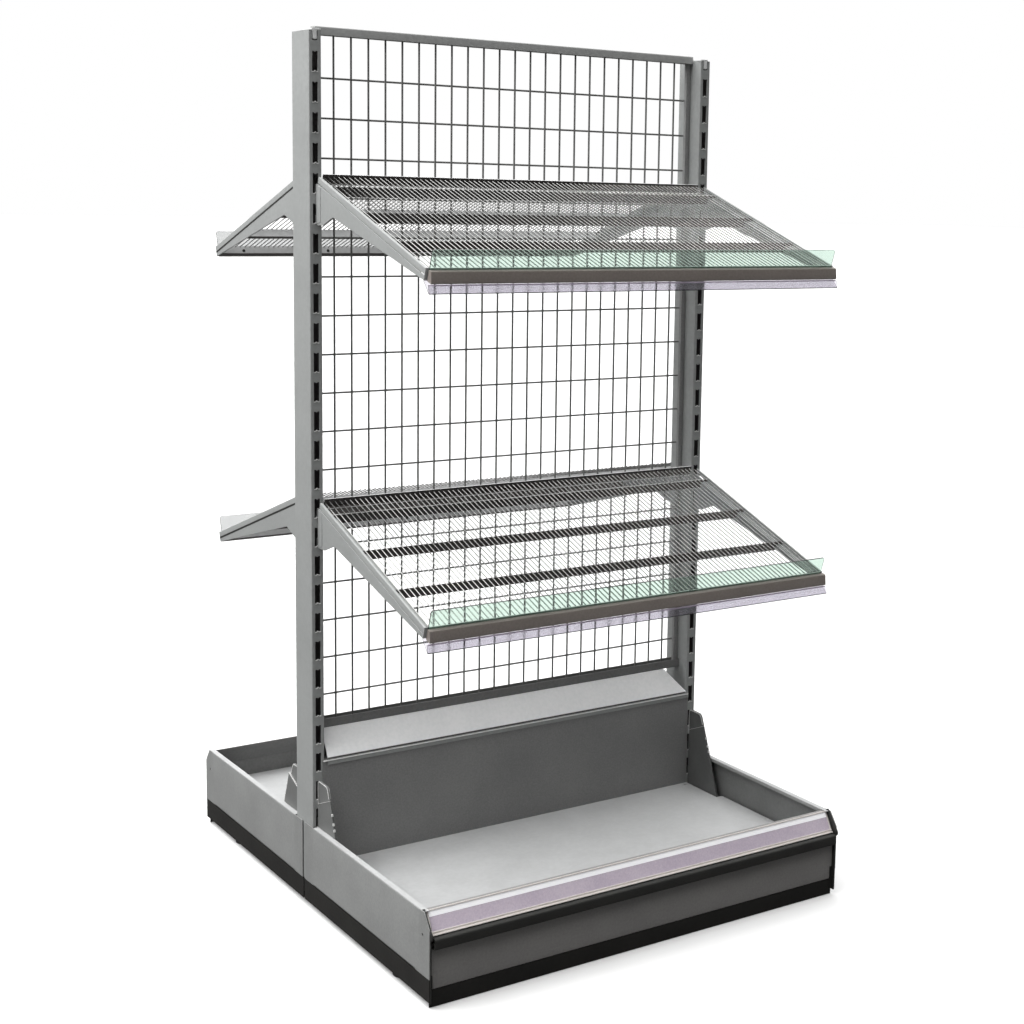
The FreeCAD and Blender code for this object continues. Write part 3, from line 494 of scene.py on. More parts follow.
def ring_walls(count, sides):
    """Quads between that many rings of points."""
    row = sides * np.arange(count - 1)[:, None]
    i, after = np.arange(sides), np.roll(np.arange(sides), -1)
    return np.stack([row + i, row + after, row + sides + after, row + sides + i], axis=2).reshape(-1, 4)


def lathed(profile, centre, sides=32):
    """Turns an (r, z) line that starts and ends on the axis about the upright through centre."""
    radius, height = np.asarray(profile, float).T
    return ring_points(radius[:, None], height, centre, sides), [(ring_walls(len(radius), sides), 0)]


# %% [markdown]
# A finished piece is one mesh at the origin. Shared points are merged and all faces turned outwards, long
# smooth runs are shaded smooth and folds stay crisp. Where an edge was cut with a die, a small Bevel
# modifier breaks it so that it catches the light as a real edge does.

# %% Pieces
SHARP = math.radians(32)


def piece(name, shape, body, finish, slot, stands_for=(), inside=None, bevel=0.0):
    """Makes one object of a shape, with a second finish on the inner side of its folds if one is given."""
    points, blocks = shape
    mesh = bpy.data.meshes.new(name)
    mesh.from_pydata((points * MM).tolist(), [], [face for faces, _ in blocks for face in faces.tolist()])
    tags = np.concatenate([np.full(len(faces), tag if inside else 0) for faces, tag in blocks])
    mesh.polygons.foreach_set("material_index", tags.astype(np.int32))
    shell = bmesh.new()
    shell.from_mesh(mesh)
    bmesh.ops.remove_doubles(shell, verts=shell.verts, dist=1e-6)
    bmesh.ops.recalc_face_normals(shell, faces=shell.faces)
    shell.to_mesh(mesh)
    shell.free()
    for worn in filter(None, (finish, inside)):
        mesh.materials.append(worn)
    mesh.shade_smooth()
    mesh.set_sharp_from_angle(angle=SHARP)
    made = bpy.data.objects.new(name, mesh)
    scene.collection.objects.link(made)
    if bevel:
        edge = made.modifiers.new("broken_edges", "BEVEL")
        edge.width, edge.segments, edge.limit_method = bevel * MM, 2, "ANGLE"
        edge.angle_limit = SHARP
    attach(made, body)
    if stands_for:
        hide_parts(*stands_for)
    return made


# %% [markdown]
# The uprights are rectangular tubes with a row of slots down the front and back walls. Each slot's short
# edges have a small tooth in the middle, left by the two punches that cut it. A thin bright strip under
# each slot is painted highlight, where the slot's lower edge would catch the light from above, and the
# tube's inner faces take a dark coat as painted shade. A hole in a flat face is made by cutting the wall
# into cells with one slot each: four faces run from a cell's edges to the slot. A Boolean modifier could
# punch the slots too, but with more than a hundred of them it is slow and leaves thin triangles.

# %% Pierced walls


def pierced(edges, holed, half, hole, depth, rims=False):
    """A flat strip of cells in (across, along), with a second skin a depth behind it. A holed cell is four
    faces, each from one border edge to the hole's points between the two corners nearest to it."""
    edges, holed = np.asarray(edges, float), np.asarray(holed, bool)
    low, high = edges[:-1], edges[1:]
    middle, size = (low + high)[holed] / 2, (high - low)[holed][0]
    across = np.array([-half, half, half, -half])
    nearest = np.column_stack([across, size / 2 * np.array([-1, -1, 1, 1])])
    stops = np.linalg.norm(hole[None] - nearest[:, None], axis=2).argmin(axis=1)
    hole = np.roll(hole, -stops[0], axis=0)
    count = len(hole)
    stops = np.append((stops - stops[0]) % count, count)
    border = np.stack([np.tile(across, (len(low), 1)), np.stack([low, low, high, high], axis=1)], axis=2)
    inner = hole[None] + np.column_stack([0 * middle, middle])[:, None]
    flat = np.vstack([border.reshape(-1, 2), inner.reshape(-1, 2)])
    skin = np.column_stack([flat[:, 0], 0 * flat[:, 0], flat[:, 1]])
    corner = 4 * np.arange(len(low))[:, None] + np.arange(4)
    ring = 4 * len(low) + count * np.arange(len(middle))[:, None] + np.arange(count)
    faces = [corner[~holed]]
    for k in range(4):
        run = np.arange(stops[k + 1], stops[k] - 1, -1) % count
        faces.append(np.hstack([corner[holed][:, [k, (k + 1) % 4]], ring[:, run]]))
    after = np.roll(ring, -1, axis=1)
    through = np.stack([ring, after, after + len(flat), ring + len(flat)], axis=2).reshape(-1, 4)
    blocks = [(block, 0) for block in faces] + [(block + len(flat), 1) for block in faces] + [(through, 0)]
    if rims:
        pairs = np.vstack([corner[:, [0, 3]], corner[:, [1, 2]], corner[:1, [0, 1]], corner[-1:, [3, 2]]])
        blocks.append((np.hstack([pairs, pairs[:, ::-1] + len(flat)]), 0))
    return np.vstack([skin, skin + (0, depth, 0)]), blocks


def leaf(outline, depth, walled):
    """A flat (across, along) outline and its second skin, with walls only along the named edges."""
    outline = np.asarray(outline, float)
    i = np.arange(len(outline))
    skin = np.column_stack([outline[:, 0], 0 * i, outline[:, 1]])
    walls = np.column_stack([i, np.roll(i, -1), np.roll(i, -1) + len(i), i + len(i)])[walled]
    return np.vstack([skin, skin + (0, depth, 0)]), [(i[None], 0), (i[None] + len(i), 1), (walls, 0)]


def column_side(outline, rows):
    """A sheet's (x, y) outline carried up the rows, without the faces where the slotted walls join on."""
    count, half = len(outline), len(outline) // 2
    points = np.concatenate([np.tile(outline, (len(rows), 1)), np.repeat(rows, count)[:, None]], axis=1)
    k = np.arange(half - 1)
    row = count * np.arange(len(rows) - 1)[:, None]
    blocks = []
    for tag, j in ((0, k), (1, k + half)):
        walls = np.stack([row + j, row + j + 1, row + j + 1 + count, row + j + count], axis=2)
        blocks.append((walls.reshape(-1, 4), tag))
    rim = np.column_stack([k, k + 1, count - 2 - k, count - 1 - k])
    return points, blocks + [(np.vstack([rim, rim + count * (len(rows) - 1)]), 0)]


# %% Uprights
BAY_HALF, COLUMN_HALF_W, FACE, WALL = 400.0, 11.0, 35.0, 2.0
COLUMN_FOOT, COLUMN_TOP, NOTCH_FOOT, SEAM = 24.0, 1520.0, 1503.0, 6.5
SLOT_FOOT, SLOT_STEP, SLOT_COUNT, SLOT_L, SLOT_HALF_W = 103.0, 50.0, 28, 33.0, 5.0
TOOTH, TOOTH_HALF_W, COLUMN_BEND = 1.9, 2.0, 2.2
HIGHLIGHT_LIP_H, HIGHLIGHT_LIP_OUT, HIGHLIGHT_LIP_IN = 1.4, 0.9, 0.2
margin = (SLOT_STEP - SLOT_L) / 2
cell_edges = SLOT_FOOT - margin + SLOT_STEP * np.arange(SLOT_COUNT + 1)
low_edge = [(-SLOT_HALF_W, -SLOT_L / 2), (-TOOTH_HALF_W, -SLOT_L / 2), (0, TOOTH - SLOT_L / 2),
            (TOOTH_HALF_W, -SLOT_L / 2), (SLOT_HALF_W, -SLOT_L / 2)]
slot_outline = rounded(np.vstack([low_edge, -np.array(low_edge)]), 1.0, steps=2, closed=True)
slotted = pierced(cell_edges, np.ones(SLOT_COUNT), SEAM, slot_outline, WALL)
foot_leaf = leaf(oblong(-SEAM, SEAM, COLUMN_FOOT, cell_edges[0]), WALL, slice(0, 1))
notch = rounded([(SLOT_HALF_W, COLUMN_TOP), (SLOT_HALF_W, NOTCH_FOOT), (-SLOT_HALF_W, NOTCH_FOOT),
                 (-SLOT_HALF_W, COLUMN_TOP)], 2.0)
head_outline = np.vstack([[(-SEAM, cell_edges[-1]), (SEAM, cell_edges[-1]), (SEAM, COLUMN_TOP)], notch,
                          [(-SEAM, COLUMN_TOP)]])
head_leaf = leaf(head_outline, WALL, slice(2, len(head_outline) - 1))
front_wall = moved(joined(slotted, foot_leaf, head_leaf), (0, -FACE, 0))
turned_side = sheet([(SEAM, -FACE), (COLUMN_HALF_W, -FACE), (COLUMN_HALF_W, FACE), (SEAM, FACE)], WALL,
                    COLUMN_BEND)
right_side = column_side(turned_side, np.concatenate([[COLUMN_FOOT], cell_edges, [COLUMN_TOP]]))
column = joined(front_wall, mirrored(front_wall, 1), right_side, mirrored(right_side, 0))
lip_line = np.array(low_edge)
lip_outline = np.vstack([lip_line, lip_line[::-1] - (0, HIGHLIGHT_LIP_H)])
slot_lip = along_y(lip_outline, -FACE - HIGHLIGHT_LIP_OUT, -FACE + HIGHLIGHT_LIP_IN, block=True)
slot_middles = (cell_edges[:-1] + cell_edges[1:]) / 2
slot_lips = joined(*[moved(slot_lip, (-BAY_HALF, 0, z)) for z in slot_middles])
slot_lips = joined(slot_lips, mirrored(slot_lips, 1))
# The strips under the slots are painted highlight.
piece("slot_lips", pair(slot_lips), "frame", highlight_coat, "light_grey_paint")
# The tubes' inner faces take the dark coat as painted shade.
for hand, x in (("left", -BAY_HALF), ("right", BAY_HALF)):
    made = piece("slotted_column_" + hand, moved(column, (x, 0, 0)), "frame", light_coat,
                 "light_grey_paint", ["upright_" + hand], inside=shade_coat)
    print(made.name, len(made.data.polygons), "faces")

# %% [markdown]
# The mesh back is a welded grid of 3.5 mm wire held in two folded rails and two flat stiles. It hangs on
# the uprights by two pale moulded hooks, whose tongues drop into the open notches at the top. An Array
# modifier could repeat one wire; here all wires are made at once from rows of end points, which keeps
# them in one mesh.

# %% Mesh back
RAIL_X, RAIL_HALF_D, RAIL_T, RAIL_BEND = 388.5, 10.0, 1.5, 2.5
TOP_RAIL = (1515.0, 1529.0)
LOW_RAIL = (321.0, 337.0)
GRID_FOOT, GRID_HEAD = LOW_RAIL[0] + RAIL_T, TOP_RAIL[1] - RAIL_T
STILE_IN, STILE_HALF_D, STILE_ROUND = 378.5, 4.0, 1.5
MESH_R, MESH_COLUMNS, MESH_ROWS, MESH_FIRST, MESH_STEP = 1.75, 24, 17, 1445.0, 66.7
top_path = [(RAIL_HALF_D, TOP_RAIL[0]), (RAIL_HALF_D, TOP_RAIL[1]), (-RAIL_HALF_D, TOP_RAIL[1]),
            (-RAIL_HALF_D, TOP_RAIL[0])]
low_path = [(-RAIL_HALF_D, LOW_RAIL[1]), (-RAIL_HALF_D, LOW_RAIL[0]), (RAIL_HALF_D, LOW_RAIL[0]),
            (RAIL_HALF_D, LOW_RAIL[1])]
# The low rail takes the darker coat as painted shade.
RAILS = {"mesh_top_rail": (top_path, rail_coat), "mesh_low_rail": (low_path, shade_grey_coat)}
for name, (path, finish) in RAILS.items():
    rail = along_x(sheet(path, RAIL_T, RAIL_BEND), -RAIL_X, RAIL_X)
    piece(name, rail, "frame", finish, "mesh_paint", ["mesh_rails"])
stile = rounded(oblong(-RAIL_X, -STILE_IN, -STILE_HALF_D, STILE_HALF_D), STILE_ROUND, closed=True)
stile = along_z(stile, GRID_FOOT, GRID_HEAD)
piece("mesh_stile_pair", pair(stile), "frame", dark_coat, "mesh_paint", ["mesh_stiles"])
span = STILE_IN + RAIL_X
columns = -span / 2 + span / MESH_COLUMNS * np.arange(1, MESH_COLUMNS)
rows = MESH_FIRST - MESH_STEP * np.arange(MESH_ROWS)
upright_wires = rods(spots(columns, 0, GRID_FOOT), spots(columns, 0, GRID_HEAD), MESH_R)
level_wires = rods(spots(-STILE_IN, 2 * MESH_R, rows), spots(STILE_IN, 2 * MESH_R, rows), MESH_R)
piece("mesh_grid", joined(upright_wires, level_wires), "frame", mesh_coat, "mesh_paint", ["mesh_wires"])
print("mesh", len(columns), "upright and", len(rows), "level wires")

# %% Top hooks
HOOK_X, HOOK_Y, HOOK_Z = (-406.0, -388.5), (-35.0, 8.0), (1520.0, 1523.0)
TONGUE_X, TONGUE_Y, TONGUE_Z = (-403.5, -396.5), (-35.0, -32.5), (1505.0, 1521.0)
hook_plate = along_z(rounded(oblong(*HOOK_X, *HOOK_Y), 2.5, closed=True), *HOOK_Z)
tongue = rounded(oblong(*TONGUE_X, *TONGUE_Z), [2.5, 2.5, 0.5, 0.5], closed=True)
tongue = along_y(tongue, *TONGUE_Y, block=True)
piece("top_hook_pair", pair(joined(hook_plate, tongue)), "frame", hook_plastic, "pale_plastic",
      ["mesh_top_hooks"], bevel=0.6)
print("top hooks")

# %% [markdown]
# Each shelf slopes down to the shopper by 19 degrees. Its places are easiest to give along the slope and
# above the wires, so one function turns such a pair into depth and height. The back shelves are the front
# ones mirrored. Finished objects could be turned instead, but their points would then no longer be in the
# frame of the bay.

# %% Shelf frame of reference
SLOPE = math.radians(19.0)
SHELF_BACK, SHELF_DROP, SHELF_REACH = 40.0, 5.0, 390.0
RUN = SHELF_REACH / math.cos(SLOPE)
SLOT_TOP = {"upper": 1286.0, "lower": 736.0}
SHELF_UP = np.array([0.0, -math.sin(SLOPE), math.cos(SLOPE)])


def on_shelf(level, outline):
    """(y, z) of points given along the shelf and above its wires: a turn by the slope and a shift."""
    along, over = np.asarray(outline, float).T
    y = -SHELF_BACK - along * math.cos(SLOPE) - over * math.sin(SLOPE)
    z = SLOT_TOP[level] - SHELF_DROP - along * math.sin(SLOPE) + over * math.cos(SLOPE)
    return np.column_stack([y, z])


def shelf_spot(level, along, over=0.0):
    """One such point in the middle of the bay, as (x, y, z)."""
    return np.append(0.0, on_shelf(level, [(along, over)])[0])


def bar(level, along, over, x0, x1):
    """A flat bar across the shelf, given by its two ends along the slope and above the wires."""
    return along_x(on_shelf(level, oblong(*along, *over)), x0, x1, block=True)


def shelf_piece(side, level, tail, shape, finish, slot, node=None, **extra):
    """A piece that rides on one shelf and stands for a node of it if one is named."""
    name = side + "_" + level
    stands_for = [name + "_" + node] if node else ()
    shape = for_side(side, shape)
    return piece(name + "_" + tail, shape, "shelf_" + name, finish, slot, stands_for, **extra)


print("shelf run", round(RUN, 1), "mm")

# %% [markdown]
# A shelf frame is welded from a side rail with a rolled top edge on each side, three angles on edge
# across, a rear angle and a pierced lip at the front. The bars take the near-black coat of painted shade,
# so they are black between the bright wires; on the upper back shelf their inner faces are pale instead,
# painted light. A thin white line along the hindmost bar's top edge is painted highlight. The rear angles
# take the dark coat on their inner side and the lip's foot is dark, both painted shade. The wires end
# below the edge of the front shelves' rear angle; the back shelves' one is lower, so their ends show
# above it. Each bar is a folded line carried across the bay, and the lip's holes are cells of a pierced
# strip, as in the uprights, so nothing has to be cut.

# %% Shelf frames
BRACKET_OUT, BRACKET_IN, RAIL_IN = 399.0, 396.5, 397.5
WIRE_R, WIRE_COUNT, WIRE_STEP = 1.0, 83, 9.5
WIRE_LOW = -2 * WIRE_R
RIM_TOP, RIM_LOW, RIM_START, RIM_IN, RIM_T, RIM_ROLL = 0.5, -9.5, 5.0, 394.8, 1.2, 1.8
LEDGE_TOP, LEDGE_START, LEDGE_IN = -8.0, 42.0, 385.0
BAR_T, BAR_BEND, EDGE_HIGHLIGHT_H, EDGE_HIGHLIGHT_PROUD = 1.5, 2.2, 0.6, 0.3
CROSS_BARS, CROSS_LOW, CROSS_FOOT, CROSS_X = (43.0, 168.0, 294.0), -20.5, 10.0, 382.0
REAR_BACK, REAR_LOW, REAR_FOOT, REAR_X = -3.0, -14.0, 6.0, 388.0
REAR_TOP = {"front": 2.5, "back": -8.0}
LIP_LOW, LIP_HIGH, LIP_T, LIP_FOOT = -19.0, 1.0, 1.5, 16.0
HOLE_R, HOLE_OVER, HOLE_SIDES, HOLE_CELL, PLUG_SUNK = 3.0, -8.5, 16, 12.0, 0.3
HOLES = 172.5 * np.arange(-2, 3)


def side_rails(level):
    """Both side rails: a wall with its top edge rolled inwards, and a narrow ledge below the wires."""
    wall = sheet([(-RIM_IN, RIM_TOP), (-BRACKET_OUT, RIM_TOP), (-BRACKET_OUT, RIM_LOW)], RIM_T, RIM_ROLL)
    wall = drawn_out(wall, shelf_spot(level, RIM_START), shelf_spot(level, RUN - LIP_T), (1, 0, 0), SHELF_UP)
    ledge = bar(level, (LEDGE_START, RUN - LIP_FOOT), (RIM_LOW, LEDGE_TOP), -RAIL_IN, -LEDGE_IN)
    return pair(joined(wall, ledge))


def cross_bars(level):
    """Angles with their foot turned back, and shallow ends that lie on the side rails' ledges."""
    shapes = []
    for place in CROSS_BARS:
        path = [(place - CROSS_FOOT, CROSS_LOW), (place + BAR_T, CROSS_LOW), (place + BAR_T, WIRE_LOW)]
        shapes.append(along_x(on_shelf(level, sheet(path, BAR_T, BAR_BEND)), -CROSS_X, CROSS_X))
        shapes.append(pair(bar(level, (place, place + BAR_T), (LEDGE_TOP, WIRE_LOW), -RAIL_IN, -CROSS_X)))
    return joined(*shapes)


def rear_rail(level, top):
    """The rear angle's line runs from its top edge round the bend to the tip of its foot."""
    back = REAR_BACK - BAR_T
    path = [(back, top), (back, REAR_LOW), (REAR_BACK + REAR_FOOT, REAR_LOW)]
    return along_x(on_shelf(level, sheet(path, BAR_T, BAR_BEND)), -REAR_X, REAR_X)


def front_lip(level):
    """The lip's upright leg: a pierced strip laid across the slope."""
    middle = (LIP_HIGH + LIP_LOW) / 2
    hole = circle(HOLE_R, HOLE_SIDES) + (HOLE_OVER - middle, 0)
    cells = (HOLES[:, None] + (-HOLE_CELL, HOLE_CELL)).ravel()
    edges = np.concatenate([[-BRACKET_OUT], cells, [BRACKET_OUT]])
    holed = np.arange(len(edges) - 1) % 2 == 1
    points, blocks = pierced(edges, holed, (LIP_HIGH - LIP_LOW) / 2, hole, LIP_T, rims=True)
    place = on_shelf(level, np.column_stack([RUN - LIP_T + points[:, 1], points[:, 0] + middle]))
    return np.column_stack([points[:, 2], place]), blocks


def lip_plugs(level):
    """Moulded plugs that close the lip's holes, a little sunk."""
    across = spots(HOLES, 0, 0)
    return rods(across + shelf_spot(level, RUN - LIP_T + PLUG_SUNK, HOLE_OVER),
                across + shelf_spot(level, RUN - PLUG_SUNK, HOLE_OVER), HOLE_R, HOLE_SIDES)


def shelf_wires(level):
    """The row of wires that carries the goods; the outer two start in front of the uprights."""
    x = WIRE_STEP * (np.arange(WIRE_COUNT) - WIRE_COUNT // 2)
    across = spots(x, 0, 0)
    outer = (np.abs(x) > REAR_X)[:, None]
    start = np.where(outer, shelf_spot(level, RIM_START, -WIRE_R), shelf_spot(level, REAR_BACK, -WIRE_R))
    return rods(across + start, across + shelf_spot(level, RUN - LIP_T, -WIRE_R), WIRE_R)


SHELVES = [(side, level) for side in ("front", "back") for level in ("upper", "lower")]
# Bars, the rear angles' inner side and the lip feet are painted shade; the upper back shelf's pale bar
# insides are painted light, and the edge strip is painted highlight.
for side, level in SHELVES:
    lit_inner_faces = (side, level) == ("back", "upper")
    shelf_piece(side, level, "side_rails", side_rails(level), light_coat, "light_grey_paint", "frame")
    shelf_piece(side, level, "cross_bars", cross_bars(level), shade_coat, "dark_grey_paint", "frame",
                inside=tray_coat if lit_inner_faces else shade_coat)
    hindmost = (CROSS_BARS[0] - EDGE_HIGHLIGHT_PROUD, CROSS_BARS[0] + BAR_T + EDGE_HIGHLIGHT_PROUD)
    edge = bar(level, hindmost, (WIRE_LOW - EDGE_HIGHLIGHT_H, WIRE_LOW), -RAIL_IN, RAIL_IN)
    shelf_piece(side, level, "edge_highlight", edge, highlight_coat, "light_grey_paint")
    shelf_piece(side, level, "rear_rail", rear_rail(level, REAR_TOP[side]), ledge_coat, "light_grey_paint",
                "frame", inside=shade_coat)
    shelf_piece(side, level, "front_lip", front_lip(level), tray_coat, "light_grey_paint", "frame")
    foot = bar(level, (RUN - LIP_FOOT, RUN - LIP_T), (LIP_LOW, LIP_LOW + BAR_T), -BRACKET_IN, BRACKET_IN)
    shelf_piece(side, level, "lip_foot", foot, shade_coat, "dark_grey_paint", "frame")
    shelf_piece(side, level, "lip_plugs", lip_plugs(level), black_plastic, "black_plastic")
    shelf_piece(side, level, "wire_row", shelf_wires(level), bright_wire, "pale_wire", "wires")
    print(side, level, "frame and wires")

# %% [markdown]
# The brackets are tapered plates with a hook and a tab at the back, which drop into two slots of the
# upright, and a flange folded inwards that carries the shelf frame. On the back shelves a dark rubber
# strip along the seam between bracket and rail is painted shadow, the dark line under the flange. The
# plate is one outline, drawn point by point and given a thickness, just as it was cut from sheet.

# %% Brackets
HOOK_FIT, HOOK_H, TAB_H, TAB_D, HEEL_T, HEEL_D = 0.4, 15.0, 12.0, 4.0, 0.8, 17.0
ARM_TOP, ARM_FOLD, FLANGE_START, FLANGE_D, SEAM_LOW = -12.0, 1.2, 46.0, 14.0, -13.0


def bracket(level):
    """Left bracket: the plate's outline from its heel round the tab, the hook and the nose, a thin heel
    plate and the flange."""
    slot_foot = SLOT_TOP[level] - SLOT_L
    back, lip, tab_y = -FACE - HOOK_FIT, -FACE + WALL + HOOK_FIT, -FACE + WALL + TAB_D
    seat, low = slot_foot + HOOK_FIT, slot_foot - SLOT_STEP
    heel, tab = low - 3, low + 2
    head_y, root_y = back - 9, -FACE - 65
    top_y, top_z = on_shelf(level, [(0, ARM_TOP)])[0]
    crest_y, crest_z = on_shelf(level, [(0, 0)])[0]
    web = [(back, heel), (back, tab), (tab_y, tab), (tab_y, tab + TAB_H), (back, tab + TAB_H), (back, seat),
           (lip, seat), (lip + 3, seat - 12), (lip + 6, seat - 12), (lip + 7.5, seat),
           (lip + 3, seat + HOOK_H), (back, seat + HOOK_H),
           (head_y, top_z + (head_y - top_y) * math.tan(SLOPE)),
           *on_shelf(level, [(RUN - LIP_T, ARM_TOP), (RUN - LIP_T, LIP_LOW)]),
           (root_y, crest_z + (root_y - crest_y) * math.tan(SLOPE) - 46), (back - 25, heel)]
    radii = [2, 0.5, 1, 1, 0.5, 0.5, 0.5, 1, 1, 1, 4, 0.5, 3, 1, 1, 5, 5]
    plate = along_x(rounded(web, radii, closed=True), -BRACKET_OUT, -BRACKET_IN, block=True)
    heel_plate = [(back, heel + 2), (back, seat + 13), (back - HEEL_D, seat + 10), (back - HEEL_D, heel + 5)]
    heel_plate = rounded(heel_plate, 2.5, closed=True)
    heel_plate = along_x(heel_plate, -BRACKET_OUT - HEEL_T, -BRACKET_OUT, block=True)
    flange = bar(level, (FLANGE_START, RUN - LIP_FOOT), (ARM_TOP, RIM_LOW), -BRACKET_OUT + ARM_FOLD,
                 -BRACKET_IN + FLANGE_D)
    return joined(plate, heel_plate, flange)


for side, level in SHELVES:
    for hand in ("left", "right"):
        shelf_piece(side, level, "arm_" + hand, for_hand(hand, bracket(level)), light_coat,
                    "light_grey_paint", "bracket_" + hand, bevel=0.4)
# Dark strips under the back brackets' flanges: painted shadow.
for level in ("upper", "lower"):
    seam = bar(level, (2, RUN - LIP_T), (SEAM_LOW, RIM_LOW), -BRACKET_OUT - 0.2, -BRACKET_OUT + 0.8)
    shelf_piece("back", level, "rail_shadow_lines", pair(seam), rubber, "black_rubber")
print("brackets", 2 * len(SHELVES))

# %% [markdown]
# Along the front of each shelf stands a clear upstand that keeps the goods from sliding off. On the front
# shelves a dark extruded channel holds its foot, and a clear ticket strip with a V section hangs below.
# Both lean back, so that a shopper can read them from above. A lavender rib runs along the strip's head,
# close under the channel. Channel, strip and rib are sections carried along the shelf, as such strips are
# extruded; the upstand is an outline given a thickness, for the sake of its rounded corners.

# %% Shelf fronts
UPSTAND_X, UPSTAND_TOP, UPSTAND_FACES = 393.5, 31.0, (RUN + 0.1, RUN + 2.9)
CHANNEL_LEFT, CHANNEL_D, CHANNEL_TOP, CHANNEL_T, CHANNEL_BEND, END_T = -394.0, 7.0, -1.0, 1.6, 2.2, 0.8
LEAN_BACK, STRIP_DROP, STRIP_T, STRIP_BEND, RIB_T, RIB_SHORT = 8.0, 14.0, 1.0, 1.2, 0.6, 2.0
CHANNEL_BACK = RUN + 3
CHANNEL_FRONT = CHANNEL_BACK + CHANNEL_D
STRIP_FRONT, STRIP_TOP = CHANNEL_FRONT + LEAN_BACK, LIP_LOW - 0.4


def upstand(level):
    """A flat plate with two rounded top corners, as thick as 3 mm sheet."""
    outline = rounded(oblong(-UPSTAND_X, UPSTAND_X, LIP_LOW, UPSTAND_TOP), [0.5, 0.5, 4, 4], closed=True)
    back, front = [shelf_spot(level, along) for along in UPSTAND_FACES]
    return drawn_out(outline, back, front, (1, 0, 0), SHELF_UP, block=True)


def foot_channel(level):
    """A channel open to the back, with rounded front edges, a leaning face and a closed left end."""
    path = [(CHANNEL_BACK, LIP_LOW), (STRIP_FRONT, LIP_LOW), (CHANNEL_FRONT, CHANNEL_TOP),
            (CHANNEL_BACK, CHANNEL_TOP)]
    channel = along_x(on_shelf(level, sheet(path, CHANNEL_T, CHANNEL_BEND)), CHANNEL_LEFT, BRACKET_OUT)
    end = rounded(path, [0.5, 3.0, CHANNEL_BEND, 0.5], closed=True)
    return joined(channel, along_x(on_shelf(level, end), CHANNEL_LEFT - END_T, CHANNEL_LEFT, block=True))


def ticket_strip(level):
    """A thin V: down the back leaf, round the bottom and up the front leaf."""
    path = [(RUN + 0.6, STRIP_TOP), (STRIP_FRONT + LEAN_BACK, STRIP_TOP - STRIP_DROP),
            (STRIP_FRONT - 0.2, STRIP_TOP)]
    return along_x(on_shelf(level, sheet(path, STRIP_T, STRIP_BEND)), -BAY_HALF, BAY_HALF)


def strip_rib(level):
    """A flat rib along the head of the strip, behind its front leaf and parallel to it."""
    head, foot = (STRIP_FRONT - 1.6, STRIP_TOP - 0.4), (STRIP_FRONT - 0.5, STRIP_TOP - 2.2)
    section = [head, foot, (foot[0] - RIB_T, foot[1]), (head[0] - RIB_T, head[1])]
    return along_x(on_shelf(level, section), RIB_SHORT - BAY_HALF, BAY_HALF - RIB_SHORT, block=True)


for side, level in SHELVES:
    acrylic = green_acrylic if side == "front" else clear_acrylic
    shelf_piece(side, level, "upstand", upstand(level), acrylic, "clear_plate", "riser", bevel=0.4)
    if side == "front":
        shelf_piece(side, level, "foot_channel", foot_channel(level), profile_plastic, "dark_grey_paint",
                    "profile")
        shelf_piece(side, level, "ticket_leaf", ticket_strip(level), clear_pvc, "clear_strip",
                    "ticket_strip")
        shelf_piece(side, level, "strip_rib", strip_rib(level), label_card, "ticket_plastic")
print("shelf fronts")

# %% [markdown]
# The legs are plates that hook into the two lowest slots and run forward under the tray. A stay plate is
# welded to one face, outside on the left and inside on the right, because both legs are the same
# pressing. The stay's front edge has three small teeth. Bright strips on the pressed rim round the head,
# the stay's top edge and the teeth are painted highlight, and the right legs, whose inner faces are seen,
# take a darker copy of the leg coat as painted shade. Plate, claws and nut are outlines with a thickness,
# drawn for the left front leg and mirrored for the others.

# %% Legs
SIDE_TOP = 154.0
FOOT_X, FOOT_Y = 386.0, 340.0
LEG_OUT, LEG_IN, LEG_LOW, LEG_END, TRAY_LOW = 401.5, 398.5, 24.0, -430.0, 83.8
CLAW_H, CLAW_DROP, CLAW_D = 15.0, 9.0, 4.0
FLANGE_IN, FLANGE_T, FLANGE_REAR, NUT_R, NUT_TOP = 371.5, 3.0, -77.0, 9.0, 35.0
STAY_T, INNER_STAY_LOW, HIGHLIGHT_T, HIGHLIGHT_PROUD = 2.0, 60.0, 0.6, 0.4
STAY_FOOT, STAY_HEAD, STAY_REAR = np.array([[-135.0, 85.0], [-88.0, 216.0], [-39.0, 196.0]])
TEETH = np.array([168.0, 178.0, 193.0])


def leg_plate():
    """Left front leg: plate, two claws, nut flange and nut."""
    plate = [(-FACE, LEG_LOW), (LEG_END, LEG_LOW), (LEG_END, 69.8), (-416, TRAY_LOW), (-135, TRAY_LOW),
             (-77, 231), (-72, 237), (-40, 238), (-FACE, 233)]
    plate = rounded(plate, [1, 6, 6, 6, 8, 6, 4, 4, 4], closed=True)
    shapes = [along_x(plate, -LEG_OUT, -LEG_IN, block=True)]
    near = -FACE + WALL
    for seat in (SLOT_FOOT, SLOT_FOOT + SLOT_STEP):
        claw = [(-FACE, seat), (near, seat), (near, seat - CLAW_DROP), (near + CLAW_D, seat - CLAW_DROP),
                (near + CLAW_D, seat + CLAW_H), (-FACE, seat + CLAW_H)]
        shapes.append(along_x(rounded(claw, 1.0, closed=True), -LEG_OUT, -LEG_IN, block=True))
    flange_top = LEG_LOW + FLANGE_T
    flange = oblong(-LEG_OUT + 1, -FLANGE_IN, LEG_LOW, flange_top)
    shapes.append(along_y(flange, LEG_END, FLANGE_REAR, block=True))
    nut = rounded(circle(NUT_R, 6), 1.0, closed=True)
    shapes.append(along_z(nut, flange_top, NUT_TOP, (-FOOT_X, -FOOT_Y)))
    return joined(*shapes)


